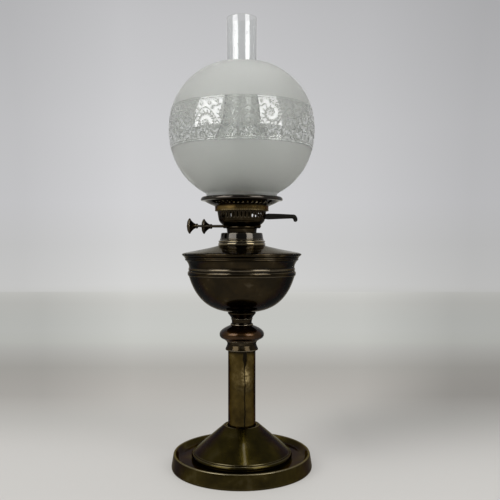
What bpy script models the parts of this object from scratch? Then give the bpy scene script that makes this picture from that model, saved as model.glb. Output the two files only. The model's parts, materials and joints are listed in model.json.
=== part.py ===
"""Brass table oil lamp: weighted foot, column, oil font, twin-wick burner, chimney and globe.

The pieces are stacked from the table upwards. The lamp's axis is Z, the winder knobs
point along -X and the extinguisher lever along +X. Every length is in metres.
"""
import math

import bmesh
import bpy
import numpy as np
from mathutils import Matrix, Vector

MM = 0.001

# Fits shared by all pieces
FIT = 0.3 * MM
OVERRUN = 3.0 * MM
WELD = 0.02 * MM
SHEET = 1.2 * MM

# Facets round the turned pieces
WIDE_FACET_COUNT = 28
MID_FACET_COUNT = 24
NARROW_FACET_COUNT = 20
SMALL_FACET_COUNT = 16
PIN_FACET_COUNT = 10

# Foot: dish, cone and weight
DISH_RADIUS = 97.3 * MM
DISH_HEIGHT = 20.0 * MM
DISH_WALL = 1.5 * MM
DISH_RIM_RADIUS = 93.0 * MM
DISH_RIM_ROUND = 1.7 * MM
DISH_FLOOR_RADIUS = 86.4 * MM
DISH_FLOOR_HEIGHT = 12.5 * MM
DISH_FOOT_WIDTH = 4.0 * MM
DISH_FOOT_LIP = 1.8 * MM
DISH_FOOT_EDGE = 0.6 * MM
CONE_RADIUS = 69.8 * MM
CONE_BEAD = 3.7 * MM
CONE_HEIGHT = 44.7 * MM
CONE_SHOULDER_RADIUS = 25.7 * MM
CONE_SHOULDER_DROP = 1.3 * MM
CONE_BORE_GAP = 0.7 * MM
WEIGHT_RADIUS = 60.0 * MM
WEIGHT_HEIGHT = 30.4 * MM
WEIGHT_SIDE = 9.0 * MM
WEIGHT_GAP = 1.5 * MM
COLUMN_SINK = 9.4 * MM

# Rod that clamps the foot, column, collar and knop together
ROD_RADIUS = 4.0 * MM
ROD_SHOW = 0.7 * MM
ROD_GRIP = 9.0 * MM
WASHER_RADIUS = 20.0 * MM
WASHER_HEIGHT = 2.0 * MM
NUT_RADIUS = 7.5 * MM
NUT_HEIGHT = 6.0 * MM

# Column, collar, knop and the socket under the font
COLUMN_RADIUS = 19.1 * MM
COLUMN_LENGTH = 132.0 * MM
COLLAR_RADIUS = 22.8 * MM
COLLAR_NECK_RADIUS = 20.1 * MM
COLLAR_TOP_RADIUS = 21.6 * MM
COLLAR_HEIGHT = 12.5 * MM
COLLAR_LAP = 4.7 * MM
KNOP_RADIUS = 31.1 * MM
KNOP_HEIGHT = 21.3 * MM
KNOP_FOOT_RADIUS = 22.6 * MM
KNOP_STEP_RADIUS = 24.4 * MM
KNOP_STEP_HEIGHT = 1.7 * MM
KNOP_BELLY_HEIGHT = 8.5 * MM
KNOP_TOP_RADIUS = 16.0 * MM
SOCKET_BEAD_RADIUS = 15.9 * MM
SOCKET_BEAD_HEIGHT = 1.6 * MM
SOCKET_NECK_RADIUS = 13.8 * MM
SOCKET_GROOVE_RADIUS = 14.6 * MM
SOCKET_TOP_RADIUS = 19.5 * MM
SOCKET_HEIGHT = 17.7 * MM

# Oil font: bowl, cover and the collar that takes the burner
FONT_RIM_RADIUS = 82.8 * MM
FONT_BEAD_INSET = 7.8 * MM
FONT_BEAD_HEIGHT = 6.0 * MM
FONT_SEAT_RADIUS = 19.0 * MM
FONT_BELLY_INSET = 9.2 * MM
FONT_BELLY_HEIGHT = 50.0 * MM
FONT_WAIST_INSET = 9.4 * MM
FONT_WAIST_HEIGHT = 6.5 * MM
FONT_LIP_INSET = 4.3 * MM
FONT_LIP_HEIGHT = 10.4 * MM
FONT_RIM_HEIGHT = 7.1 * MM
FONT_RIM_EDGE = 0.6 * MM
COVER_HEIGHT = 11.6 * MM
COVER_SHOULDER_INSET = 20.4 * MM
COVER_SHOULDER_SHARE = 0.48
COVER_HOLE_RADIUS = 27.0 * MM
COVER_SEAT_RADIUS = 33.6 * MM
RING_RADIUS = 33.0 * MM
RING_HEIGHT = 7.3 * MM
RING_SPIGOT_DEPTH = 6.6 * MM
RING_SPIGOT_WALL = 1.7 * MM
RING_LIP_RADIUS = 22.0 * MM
RING_LIP_HEIGHT = 1.5 * MM

# Bayonet cap: the burner's foot
CAP_FOOT_RADIUS = 30.6 * MM
CAP_TOP_RADIUS = 28.6 * MM
CAP_HEIGHT = 9.9 * MM
CAP_BORE_RADIUS = 18.0 * MM
DRUM_WALL = 1.3 * MM
DRUM_DEPTH = 19.0 * MM
LUG_COUNT = 3
LUG_WIDTH = 8.0 * MM
LUG_REACH = 2.3 * MM
LUG_HEIGHT = 1.5 * MM
LUG_SIDE_GAP = 0.7 * MM
TWIST = math.radians(30)

# Burner cup, with its pierced band, and the deck inside it
CUP_WALL = 1.1 * MM
CUP_HEIGHT = 39.5 * MM
CUP_WAIST_RADIUS = 20.5 * MM
CUP_WAIST_HEIGHT = 6.0 * MM
CUP_RING_RADIUS = 22.5 * MM
CUP_RING_HEIGHT = 2.4 * MM
CUP_SHOULDER_RADIUS = 32.1 * MM
CUP_SHOULDER_HEIGHT = 11.0 * MM
CUP_BAND_RADIUS = 33.7 * MM
CUP_BAND_HEIGHT = 10.3 * MM
CUP_RIM_RADIUS = 34.0 * MM
CUP_SLOT_COUNT = 32
CUP_SLOT_WIDTH = 2.6 * MM
CUP_SLOT_HEIGHT = 8.0 * MM
CUP_SLOT_DROP = 11.3 * MM
DECK_HEIGHT = 15.4 * MM
DECK_THICKNESS = 1.2 * MM
DECK_HOLE_COUNT = 10
DECK_HOLE_RADIUS = 1.8 * MM
DECK_HOLE_CIRCLE = 21.0 * MM

# Wicks, their tubes and the two winders
WICK_WIDTH = 25.0 * MM
WICK_THICKNESS = 2.6 * MM
WICK_SPACING = 12.0 * MM
WICK_SHOW = 1.5 * MM
WICK_LENGTH = 154.0 * MM
WICK_CORNER = 0.5 * MM
WICK_ROOM = 0.3 * MM
TUBE_WALL = 1.0 * MM
TUBE_CORNER = 1.3 * MM
TUBE_RISE = 41.0 * MM
TUBE_DROP = 36.0 * MM
WHEEL_RADIUS = 4.2 * MM
WHEEL_ROOT_RADIUS = 3.3 * MM
WHEEL_TEETH = 12
WHEEL_THICKNESS = 1.2 * MM
WHEEL_SPACING = 12.0 * MM
WHEEL_GAP = 0.2 * MM
SHAFT_RADIUS = 1.6 * MM
SHAFT_DROP = 6.5 * MM
SHAFT_STUB = 1.0 * MM
BUSH_WALL = 0.8 * MM
BUSH_START = 17.0 * MM
BUSH_LENGTH = 8.4 * MM
KNOB_RADIUS = 10.6 * MM
KNOB_LENGTH = 15.5 * MM
KNOB_EDGE = 2.4 * MM
KNOB_DOME = 2.6 * MM
KNOB_HUB_RADIUS = 3.0 * MM
KNOB_HUB_LENGTH = 3.0 * MM
KNOB_SOCKET = 10.0 * MM
FRONT_KNOB_REACH = 75.3 * MM
BACK_KNOB_REACH = 57.2 * MM

# Extinguisher: lever, bracket, pin and snuffer
LEVER_THICKNESS = 2.0 * MM
LEVER_REACH = 51.4 * MM
LEVER_ROOT_HEIGHT = 8.2 * MM
LEVER_TIP_HEIGHT = 5.6 * MM
LEVER_CURL_RADIUS = 2.9 * MM
LEVER_CURL_DROP = 4.6 * MM
LEVER_HUB_RADIUS = 3.2 * MM
LEVER_ARM = 17.0 * MM
LEVER_ARM_RISE = 10.7 * MM
LEVER_ARM_HEIGHT = 2.4 * MM
LEVER_TURN = math.radians(18)
PIVOT_REACH = 26.0 * MM
PIVOT_RISE = 5.8 * MM
PIN_RADIUS = 1.0 * MM
PIN_OVERHANG = 0.6 * MM
BRACKET_CHEEK = 1.2 * MM
BRACKET_BASE = 0.8 * MM
BRACKET_LENGTH = 5.0 * MM
BRACKET_SIDE_GAP = 0.4 * MM
BRACKET_FOOT = 1.2 * MM
SNUFFER_WALL = 0.7 * MM
SNUFFER_HEIGHT = 22.0 * MM
SNUFFER_STRAP = 2.4 * MM
SNUFFER_STRAP_LENGTH = 8.0 * MM

# Gallery, spring ring and flame dome
SEAT_BORE_RADIUS = 27.0 * MM
SKIRT_RADIUS = 37.1 * MM
SKIRT_WALL = 1.0 * MM
SKIRT_DROP = 10.0 * MM
SKIRT_TOP_DROP = 3.1 * MM
GALLERY_RADIUS = 57.0 * MM
GALLERY_RISE = 7.6 * MM
GALLERY_LIP_HEIGHT = 5.0 * MM
GALLERY_LIP_LEAN = 2.4 * MM
GALLERY_HEM = 2.6 * MM
GALLERY_CUT_COUNT = 32
GALLERY_CUT_RADIUS = 46.0 * MM
GALLERY_CUT_LENGTH = 9.0 * MM
GALLERY_CUT_WIDTH = 2.2 * MM
GALLERY_CUT_POINT = 2.0 * MM
SPRING_COUNT = 8
SPRING_WALL = 0.8 * MM
SPRING_HEIGHT = 12.0 * MM
SPRING_SLIT = 5.0 * MM
SPRING_BAND = 3.0 * MM
SPRING_FLARE = 1.2 * MM
DOME_RADIUS = 29.0 * MM
DOME_HEIGHT = 26.0 * MM
DOME_WALL = 0.8 * MM
DOME_POWER = 2.4
FLAME_SLOT_ROOM = 1.3 * MM

# Glass
CHIMNEY_FOOT_RADIUS = 32.0 * MM
CHIMNEY_WALL = 1.8 * MM
CHIMNEY_LENGTH = 255.0 * MM
CHIMNEY_COLLAR_HEIGHT = 20.0 * MM
CHIMNEY_BULGE_RADIUS = 42.0 * MM
CHIMNEY_BULGE_HEIGHT = 60.0 * MM
CHIMNEY_WAIST_RADIUS = 26.0 * MM
CHIMNEY_WAIST_HEIGHT = 120.0 * MM
CHIMNEY_THROAT_RADIUS = 20.6 * MM
CHIMNEY_THROAT_HEIGHT = 186.0 * MM
CHIMNEY_TOP_RADIUS = 21.3 * MM
GLOBE_RADIUS = 100.6 * MM
GLOBE_WALL = 3.0 * MM
GLOBE_NECK_RADIUS = 48.9 * MM
GLOBE_NECK_HEIGHT = 10.5 * MM
GLOBE_MOUTH_RADIUS = 46.3 * MM
GLOBE_LOWER_HEIGHT = 87.0 * MM
GLOBE_UPPER_HEIGHT = 86.2 * MM
GLOBE_POWER = 2.12

# Heights, stacked from the table upwards
DISH_UNDERSIDE = DISH_FLOOR_HEIGHT - DISH_WALL
WASHER_FOOT = DISH_UNDERSIDE - FIT - WASHER_HEIGHT
NUT_FOOT = WASHER_FOOT - FIT - NUT_HEIGHT
CONE_FOOT = DISH_FLOOR_HEIGHT + FIT
CONE_TOP = CONE_FOOT + CONE_HEIGHT
WEIGHT_TOP = CONE_FOOT + WEIGHT_HEIGHT
COLUMN_FOOT = WEIGHT_TOP - COLUMN_SINK + FIT
COLUMN_TOP = COLUMN_FOOT + COLUMN_LENGTH
COLLAR_FOOT = COLUMN_TOP - COLLAR_LAP
COLLAR_TOP = COLLAR_FOOT + COLLAR_HEIGHT
KNOP_FOOT = COLLAR_TOP + FIT
KNOP_TOP = KNOP_FOOT + KNOP_HEIGHT
SOCKET_FOOT = KNOP_TOP + FIT
SOCKET_TOP = SOCKET_FOOT + SOCKET_HEIGHT
ROD_TOP = SOCKET_FOOT + ROD_GRIP
FONT_FOOT = SOCKET_TOP + FIT
FONT_BEAD_FOOT = FONT_FOOT + FONT_BELLY_HEIGHT
FONT_WAIST = FONT_BEAD_FOOT + FONT_BEAD_HEIGHT + FONT_WAIST_HEIGHT
FONT_LIP = FONT_WAIST + FONT_LIP_HEIGHT
FONT_RIM = FONT_LIP + FONT_RIM_HEIGHT
COVER_FOOT = FONT_RIM + FIT
COVER_TOP = COVER_FOOT + COVER_HEIGHT
RING_FOOT = COVER_TOP + FIT
RING_TOP = RING_FOOT + RING_HEIGHT
CAP_FOOT = RING_TOP + FIT
CAP_TOP = CAP_FOOT + CAP_HEIGHT
CUP_FOOT = CAP_TOP + FIT
CUP_RIM = CUP_FOOT + CUP_HEIGHT
DECK_FOOT = CUP_FOOT + DECK_HEIGHT
DECK_TOP = DECK_FOOT + DECK_THICKNESS
SEAT_UNDERSIDE = CUP_RIM + FIT
SEAT_TOP = SEAT_UNDERSIDE + SHEET
SKIRT_TOP = SEAT_UNDERSIDE - SKIRT_TOP_DROP
GLASS_FOOT = SEAT_TOP + FIT
TUBE_TOP = DECK_TOP + TUBE_RISE
TUBE_FOOT = DECK_FOOT - TUBE_DROP
WICK_TOP = TUBE_TOP + WICK_SHOW
SHAFT_HEIGHT = DECK_FOOT - SHAFT_DROP
PIVOT_HEIGHT = DECK_TOP + PIVOT_RISE

# Places across the burner
FONT_BEAD_RADIUS = FONT_RIM_RADIUS - FONT_BEAD_INSET
FONT_BELLY_RADIUS = FONT_RIM_RADIUS - FONT_BELLY_INSET
FONT_WAIST_RADIUS = FONT_RIM_RADIUS - FONT_WAIST_INSET
FONT_LIP_RADIUS = FONT_RIM_RADIUS - FONT_LIP_INSET
COVER_SHOULDER_RADIUS = FONT_RIM_RADIUS - COVER_SHOULDER_INSET
TUBE_BORE = WICK_THICKNESS + 2 * WICK_ROOM
TUBE_DEPTH = TUBE_BORE + 2 * TUBE_WALL
TUBE_BORE_WIDTH = WICK_WIDTH + 2 * WICK_ROOM
TUBE_WIDTH = TUBE_BORE_WIDTH + 2 * TUBE_WALL
WICK_OFFSET = WICK_SPACING / 2
SHAFT_OFFSET = WICK_OFFSET + WICK_THICKNESS / 2 + WHEEL_GAP + WHEEL_RADIUS
BUSH_BORE = SHAFT_RADIUS + FIT
BUSH_RADIUS = BUSH_BORE + BUSH_WALL
SHAFT_END = BUSH_START + BUSH_LENGTH + SHAFT_STUB
DRUM_RADIUS = RING_LIP_RADIUS - FIT
SPIGOT_RADIUS = COVER_HOLE_RADIUS - FIT

# Where a curve's two handles lie, as shares of the way from its start to its end
COLLAR_CROWN_SHARES = ((0.1, 0.5), (1.0, 0.6))
COLLAR_FOOT_SHARES = ((0.0, 0.35), (0.6, 0.75))
KNOP_CROWN_SHARES = ((0.55, 0.16), (1.0, 0.62))
KNOP_UNDER_SHARES = ((0.0, 0.45), (0.45, 0.96))
SOCKET_CROWN_SHARES = ((0.1, 0.5), (0.75, 0.75))
SOCKET_NECK_SHARES = ((0.4, 0.3), (1.0, 0.6))
SOCKET_FOOT_SHARES = ((0.0, 0.5), (0.6, 0.9))
FONT_BELLY_SHARES = ((0.07, 0.40), (0.42, 0.94))
FONT_RIM_SHARES = ((0.55, 0.3), (1.0, 0.6))
FONT_WAIST_SHARES = ((0.45, 0.1), (0.95, 0.55))
COVER_CROWN_SHARES = ((0.12, 0.25), (0.6, 0.8))
COVER_EDGE_SHARES = ((0.3, 0.22), (0.8, 0.7))
RING_CROWN_SHARES = ((0.75, 0.05), (1.0, 0.5))
RING_UNDER_SHARES = ((0.0, 0.6), (0.4, 1.0))
CUP_BELLY_SHARES = ((0.06, 0.40), (0.60, 0.68))
KNOB_FACE_SHARES = ((0.55, 0.0), (0.98, 0.35))
KNOB_BACK_SHARES = ((0.12, 0.02), (0.80, 0.42))
LEVER_CURL_SHARES = ((0.6, 0.0), (1.0, 0.5))
LEVER_UNDER_SHARES = ((0.0, 0.6), (0.4, 1.0))
CHIMNEY_THROAT_SHARES = ((0.08, 0.35), (0.65, 0.72))
CHIMNEY_WAIST_SHARES = ((0.28, 0.32), (1.0, 0.55))
CHIMNEY_BULGE_SHARES = ((0.0, 0.45), (0.9, 0.62))

# Heights and reaches as shares of the piece that they lie on
SOCKET_GROOVE_SHARE = 0.54
SOCKET_NECK_SHARE = 0.2
RING_BELLY_SHARE = 0.45
GALLERY_RUN_SHARE = 0.6
GALLERY_RUN_RISE_SHARE = 0.85

# First and last angles of the round stretches, in turns from the outward direction
DISH_RIM_TURNS = (0.42, 0.08)
CONE_BEAD_TURNS = (0.14, -0.25)
LEVER_CURL_TURNS = (-0.11, -0.5)
LEVER_HUB_UNDER_TURNS = (-0.22, -0.55)
LEVER_HUB_TOP_TURNS = (0.30, 0.16)

PARTS = bpy.data.collections.new("brass_oil_lamp")
CUTTERS = bpy.data.collections.new("cutters")


def clear_scene():
    """Start from an empty scene with the two collections linked."""
    for item in list(bpy.data.objects):
        bpy.data.objects.remove(item, do_unlink=True)
    bpy.context.scene.collection.children.link(PARTS)
    bpy.context.scene.collection.children.link(CUTTERS)


def finish(name, colour, metallic, roughness, clearness=0.0):
    """A Principled material in one colour."""
    material = bpy.data.materials.new(name)
    material.use_nodes = True
    shader = material.node_tree.nodes["Principled BSDF"]
    shader.inputs["Base Color"].default_value = (*colour, 1.0)
    shader.inputs["Metallic"].default_value = metallic
    shader.inputs["Roughness"].default_value = roughness
    shader.inputs["Transmission Weight"].default_value = clearness
    material.diffuse_color = (*colour, 1.0)
    return material


def make_finishes():
    """The lamp's finishes by name."""
    return {
        "dark_brass": finish("dark_brass", (0.030, 0.022, 0.013), 1.0, 0.28),
        "worn_brass": finish("worn_brass", (0.085, 0.060, 0.026), 1.0, 0.35),
        "iron": finish("iron", (0.045, 0.042, 0.040), 0.6, 0.75),
        "steel": finish("steel", (0.30, 0.29, 0.27), 1.0, 0.40),
        "clear_glass": finish("clear_glass", (0.92, 0.95, 0.93), 0.0, 0.03, 0.95),
        "frosted_glass": finish("frosted_glass", (0.74, 0.76, 0.73), 0.0, 0.45, 0.55),
        "cotton": finish("cotton", (0.62, 0.57, 0.47), 0.0, 0.95),
    }


def hang(child, parent):
    """Parent one object to another without moving it."""
    bpy.context.view_layer.update()
    child.parent = parent
    child.matrix_parent_inverse = parent.matrix_world.inverted()


def link_part(name, mesh, material, parent=None):
    """Put a mesh into the lamp as a named piece."""
    piece = bpy.data.objects.new(name, mesh)
    piece.data.materials.clear()
    piece.data.materials.append(material)
    PARTS.objects.link(piece)
    if parent is not None:
        hang(piece, parent)
    return piece


def link_cutter(name, mesh):
    """Put a mesh among the cutters, seen only as wires."""
    cutter = bpy.data.objects.new(name, mesh)
    cutter.hide_render = True
    cutter.display_type = "WIRE"
    CUTTERS.objects.link(cutter)
    return cutter


def joint_empty(name, place, parent=None):
    """An empty on a joint's axis, which carries what moves there."""
    empty = bpy.data.objects.new(name, None)
    empty.location = place
    empty.empty_display_size = OVERRUN
    PARTS.objects.link(empty)
    if parent is not None:
        hang(empty, parent)
    return empty


def evaluated_mesh(holder):
    """The mesh that an object's curve or modifiers give, with its loose caps welded."""
    bpy.context.view_layer.update()
    shown = holder.evaluated_get(bpy.context.evaluated_depsgraph_get())
    mesh = bpy.data.meshes.new_from_object(shown)
    work = bmesh.new()
    work.from_mesh(mesh)
    bmesh.ops.remove_doubles(work, verts=work.verts, dist=WELD)
    work.to_mesh(mesh)
    work.free()
    return mesh


def smooth(mesh):
    """Shade a round piece smooth and keep its real edges sharp."""
    mesh.shade_smooth()
    mesh.set_sharp_from_angle(angle=math.radians(32))


def turned_mesh(name, outline, facets):
    """Turn a half section round Z.

    The outline runs down the outside. It closes on itself, unless both its ends lie on
    the axis.
    """
    open_ended = outline[0][0] == 0 and outline[-1][0] == 0
    count = len(outline)
    edges = [(i, (i + 1) % count) for i in range(count - 1 if open_ended else count)]
    section = bpy.data.meshes.new(name + "_section")
    section.from_pydata([(radius, 0, height) for radius, height in outline], edges, [])
    holder = bpy.data.objects.new(name + "_section", section)
    bpy.context.scene.collection.objects.link(holder)
    screw = holder.modifiers.new("Turn", "SCREW")
    screw.steps = facets
    screw.render_steps = facets
    screw.use_merge_vertices = True
    screw.merge_threshold = WELD
    mesh = evaluated_mesh(holder)
    mesh.name = name
    bpy.data.objects.remove(holder, do_unlink=True)
    bpy.data.meshes.remove(section)
    smooth(mesh)
    return mesh


def turned(name, outline, facets, material, parent=None):
    """A turned piece on the lamp's axis."""
    return link_part(name, turned_mesh(name, outline, facets), material, parent)


def plate_mesh(name, loops, thickness):
    """Flat outlines in XY, holes among them, given a thickness centred on Z = 0."""
    curve = bpy.data.curves.new(name + "_outline", "CURVE")
    curve.dimensions = "2D"
    curve.fill_mode = "BOTH"
    curve.extrude = thickness / 2
    for loop in loops:
        spline = curve.splines.new("POLY")
        spline.points.add(len(loop) - 1)
        for point, (x, y) in zip(spline.points, loop):
            point.co = (x, y, 0, 1)
        spline.use_cyclic_u = True
    holder = bpy.data.objects.new(name + "_outline", curve)
    bpy.context.scene.collection.objects.link(holder)
    mesh = evaluated_mesh(holder)
    mesh.name = name
    bpy.data.objects.remove(holder, do_unlink=True)
    bpy.data.curves.remove(curve)
    return mesh


def boxes_mesh(name, boxes):
    """A mesh of separate boxes, each with its size, centre and turn about Z."""
    work = bmesh.new()
    for size, centre, turn in boxes:
        place = Matrix.Rotation(turn, 4, "Z") @ Matrix.Translation(centre)
        scale = Matrix.Diagonal((*size, 1))
        bmesh.ops.create_cube(work, size=1, matrix=place @ scale)
    mesh = bpy.data.meshes.new(name)
    work.to_mesh(mesh)
    work.free()
    return mesh


def rods_mesh(name, rods, facets):
    """A mesh of separate round rods, each with its radius, length, centre and axis."""
    work = bmesh.new()
    for radius, length, centre, axis in rods:
        turn = Vector(axis).to_track_quat("Z", "Y").to_matrix().to_4x4()
        place = Matrix.Translation(centre) @ turn
        bmesh.ops.create_cone(work, cap_ends=True, segments=facets, radius1=radius,
                              radius2=radius, depth=length, matrix=place)
    mesh = bpy.data.meshes.new(name)
    work.to_mesh(mesh)
    work.free()
    return mesh


def join(piece, cutter, operation="DIFFERENCE"):
    """Cut or join a piece with one of the cutters."""
    step = piece.modifiers.new(cutter.name, "BOOLEAN")
    step.operation = operation
    step.object = cutter


def bend(start, end, handle_shares, steps):
    """Points on a cubic curve after its start. Handles lie at shares of the way to the end."""
    start = np.array(start)
    end = np.array(end)
    near, far = (start + np.array(share) * (end - start) for share in handle_shares)
    t = np.linspace(0, 1, steps + 1)[1:, None]
    curve = ((1 - t) ** 3 * start + 3 * (1 - t) ** 2 * t * near
             + 3 * (1 - t) * t ** 2 * far + t ** 3 * end)
    return [tuple(point) for point in curve]


def arc(centre, radius, first, last, steps):
    """Points on a circle's arc, both ends among them, angles in turns from +X."""
    angles = np.linspace(first, last, steps + 1) * 2 * math.pi
    return [(centre[0] + radius * math.cos(a), centre[1] + radius * math.sin(a)) for a in angles]


def ring_outline(radius, sides, centre=(0, 0)):
    """A round outline with a number of sides."""
    return arc(centre, radius, 0, 1 - 1 / sides, sides - 1)


def offset(path, distance):
    """A path beside another one, to its right as it runs, with mitred corners."""
    points = np.array(path)
    runs = np.diff(points, axis=0)
    runs /= np.linalg.norm(runs, axis=1)[:, None]
    sides = np.column_stack([runs[:, 1], -runs[:, 0]])
    sides = np.vstack([sides[:1], sides, sides[-1:]])
    mitre = sides[:-1] + sides[1:]
    mitre *= (2 / (mitre ** 2).sum(axis=1))[:, None]
    return [tuple(point) for point in points + distance * mitre]


def radius_at(path, height):
    """The radius of a turned outline at a height."""
    radii, heights = np.array(path)[::-1].T
    return float(np.interp(height, heights, radii))


def ring_angle(index, count):
    """The angle of one of a ring's copies."""
    return 2 * math.pi * index / count


def rounded_rectangle(width, depth, corner, centre=(0, 0)):
    """A rectangle's outline with bevelled corners, run anticlockwise."""
    half_x = width / 2
    half_y = depth / 2
    corners = ((1, -1), (1, 1), (-1, 1), (-1, -1))
    points = []
    for index, (x, y) in enumerate(corners):
        along = (x * half_x, y * (half_y - corner))
        across = (x * (half_x - corner), y * half_y)
        points += [across, along] if index % 2 == 0 else [along, across]
    return [(x + centre[0], y + centre[1]) for x, y in points]


def dish_outside():
    """The dish's face from its bore over the channel and rim to the foot, inside first."""
    rim = (DISH_RIM_RADIUS, DISH_HEIGHT - DISH_RIM_ROUND)
    channel = [(ROD_RADIUS + FIT, DISH_FLOOR_HEIGHT), (DISH_FLOOR_RADIUS, DISH_FLOOR_HEIGHT)]
    crest = arc(rim, DISH_RIM_ROUND, *DISH_RIM_TURNS, 3)
    foot = (DISH_RADIUS, DISH_FOOT_LIP)
    return channel + crest + [foot]


def make_base_dish(material):
    """Spun foot: a flat channel floor, a raised rim and a flank that turns in under the edge."""
    outside = dish_outside()
    inside = offset(outside, DISH_WALL)
    inside[-1] = (DISH_RADIUS - DISH_WALL, DISH_FOOT_LIP)
    foot = [(DISH_RADIUS - DISH_FOOT_EDGE, 0), (DISH_RADIUS - DISH_FOOT_WIDTH, 0),
            (DISH_RADIUS - DISH_FOOT_WIDTH, DISH_FOOT_LIP)]
    turned("base_dish", outside + foot + inside[::-1], WIDE_FACET_COUNT, material)


def cone_outside():
    """The cone's outside from its bore down to the rolled edge."""
    bore = COLUMN_RADIUS + CONE_BORE_GAP
    shoulder = CONE_TOP - CONE_SHOULDER_DROP
    bead_centre = (CONE_RADIUS - CONE_BEAD, CONE_FOOT + CONE_BEAD)
    top = [(bore, CONE_TOP - CONE_SHOULDER_DROP), (bore + CONE_SHOULDER_DROP, CONE_TOP),
           (CONE_SHOULDER_RADIUS - CONE_SHOULDER_DROP, CONE_TOP), (CONE_SHOULDER_RADIUS, shoulder)]
    return top + arc(bead_centre, CONE_BEAD, *CONE_BEAD_TURNS, 4)


def cone_inside():
    """The cone's inside, from its bore down to the back of the rolled edge."""
    bore = COLUMN_RADIUS + CONE_BORE_GAP
    under = CONE_TOP - CONE_SHOULDER_DROP - SHEET
    foot_radius = CONE_RADIUS - 2 * CONE_BEAD
    return [(bore, under), (CONE_SHOULDER_RADIUS - SHEET, under),
            (foot_radius, CONE_FOOT + 2 * CONE_BEAD - SHEET), (foot_radius, CONE_FOOT + CONE_BEAD)]


def make_base_cone(material):
    """Straight cone with a rolled lower edge, open below, round the weight and the column."""
    turned("base_cone", cone_outside() + cone_inside()[::-1], WIDE_FACET_COUNT, material)


def make_base_weight(material):
    """Cast-iron weight that fills the cone and carries the column in a counterbore."""
    inner = cone_inside()
    low = CONE_FOOT + WEIGHT_SIDE
    low_radius = min(WEIGHT_RADIUS, radius_at(inner, low) - WEIGHT_GAP)
    top_radius = radius_at(inner, WEIGHT_TOP) - WEIGHT_GAP
    step = COLUMN_FOOT - FIT
    rod = ROD_RADIUS + FIT
    column = COLUMN_RADIUS + FIT
    outline = [(column, WEIGHT_TOP), (top_radius, WEIGHT_TOP), (low_radius, low),
               (low_radius, CONE_FOOT), (rod, CONE_FOOT), (rod, step), (column, step)]
    turned("base_weight", outline, NARROW_FACET_COUNT, material)


def make_rod(material):
    """Threaded rod from the nut under the foot up into the socket."""
    bottom = NUT_FOOT - ROD_SHOW
    outline = [(0, ROD_TOP), (ROD_RADIUS, ROD_TOP), (ROD_RADIUS, bottom), (0, bottom)]
    turned("tie_rod", outline, PIN_FACET_COUNT, material)


def make_washer(material):
    """Broad washer under the dish."""
    top = WASHER_FOOT + WASHER_HEIGHT
    bore = ROD_RADIUS + FIT
    outline = [(bore, top), (WASHER_RADIUS, top), (WASHER_RADIUS, WASHER_FOOT), (bore, WASHER_FOOT)]
    turned("rod_washer", outline, NARROW_FACET_COUNT, material)


def make_nut(material):
    """Hexagon nut on the rod's lower end."""
    hexagon = ring_outline(NUT_RADIUS, 6)
    bore = ring_outline(ROD_RADIUS + FIT, PIN_FACET_COUNT)
    mesh = plate_mesh("rod_nut", (hexagon, bore), NUT_HEIGHT)
    mesh.transform(Matrix.Translation((0, 0, NUT_FOOT + NUT_HEIGHT / 2)))
    link_part("rod_nut", mesh, material)


def make_column(material):
    """Plain brass tube, standing in the weight and capped by the collar."""
    inner = COLUMN_RADIUS - SHEET
    outline = [(inner, COLUMN_TOP), (COLUMN_RADIUS, COLUMN_TOP),
               (COLUMN_RADIUS, COLUMN_FOOT), (inner, COLUMN_FOOT)]
    turned("column_tube", outline, MID_FACET_COUNT, material)


def make_column_collar(material):
    """Waisted collar that laps over the column's top and centres the rod."""
    rod = ROD_RADIUS + FIT
    lap = COLUMN_RADIUS + FIT
    neck = (COLLAR_NECK_RADIUS, COLUMN_TOP + COLLAR_LAP / 2)
    edge = (COLLAR_RADIUS, COLLAR_FOOT + COLLAR_LAP / 3)
    top = (COLLAR_TOP_RADIUS, COLLAR_TOP)
    outline = [(rod, COLLAR_TOP), top] + bend(top, neck, COLLAR_CROWN_SHARES, 2)
    outline += bend(neck, edge, COLLAR_FOOT_SHARES, 3)
    outline += [(COLLAR_RADIUS, COLLAR_FOOT), (lap, COLLAR_FOOT), (lap, COLUMN_TOP + FIT),
                (rod, COLUMN_TOP + FIT)]
    turned("column_collar", outline, NARROW_FACET_COUNT, material)


def make_knop(material):
    """Squashed ball on a low step, bored for the rod."""
    rod = ROD_RADIUS + FIT
    belly = (KNOP_RADIUS, KNOP_FOOT + KNOP_BELLY_HEIGHT)
    step = (KNOP_STEP_RADIUS, KNOP_FOOT + KNOP_STEP_HEIGHT)
    outline = [(rod, KNOP_TOP), (KNOP_TOP_RADIUS, KNOP_TOP)]
    outline += bend(outline[-1], belly, KNOP_CROWN_SHARES, 5)
    outline += bend(belly, step, KNOP_UNDER_SHARES, 3)
    outline += [(KNOP_FOOT_RADIUS, KNOP_FOOT), (rod, KNOP_FOOT)]
    turned("knop", outline, NARROW_FACET_COUNT, material)


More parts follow.
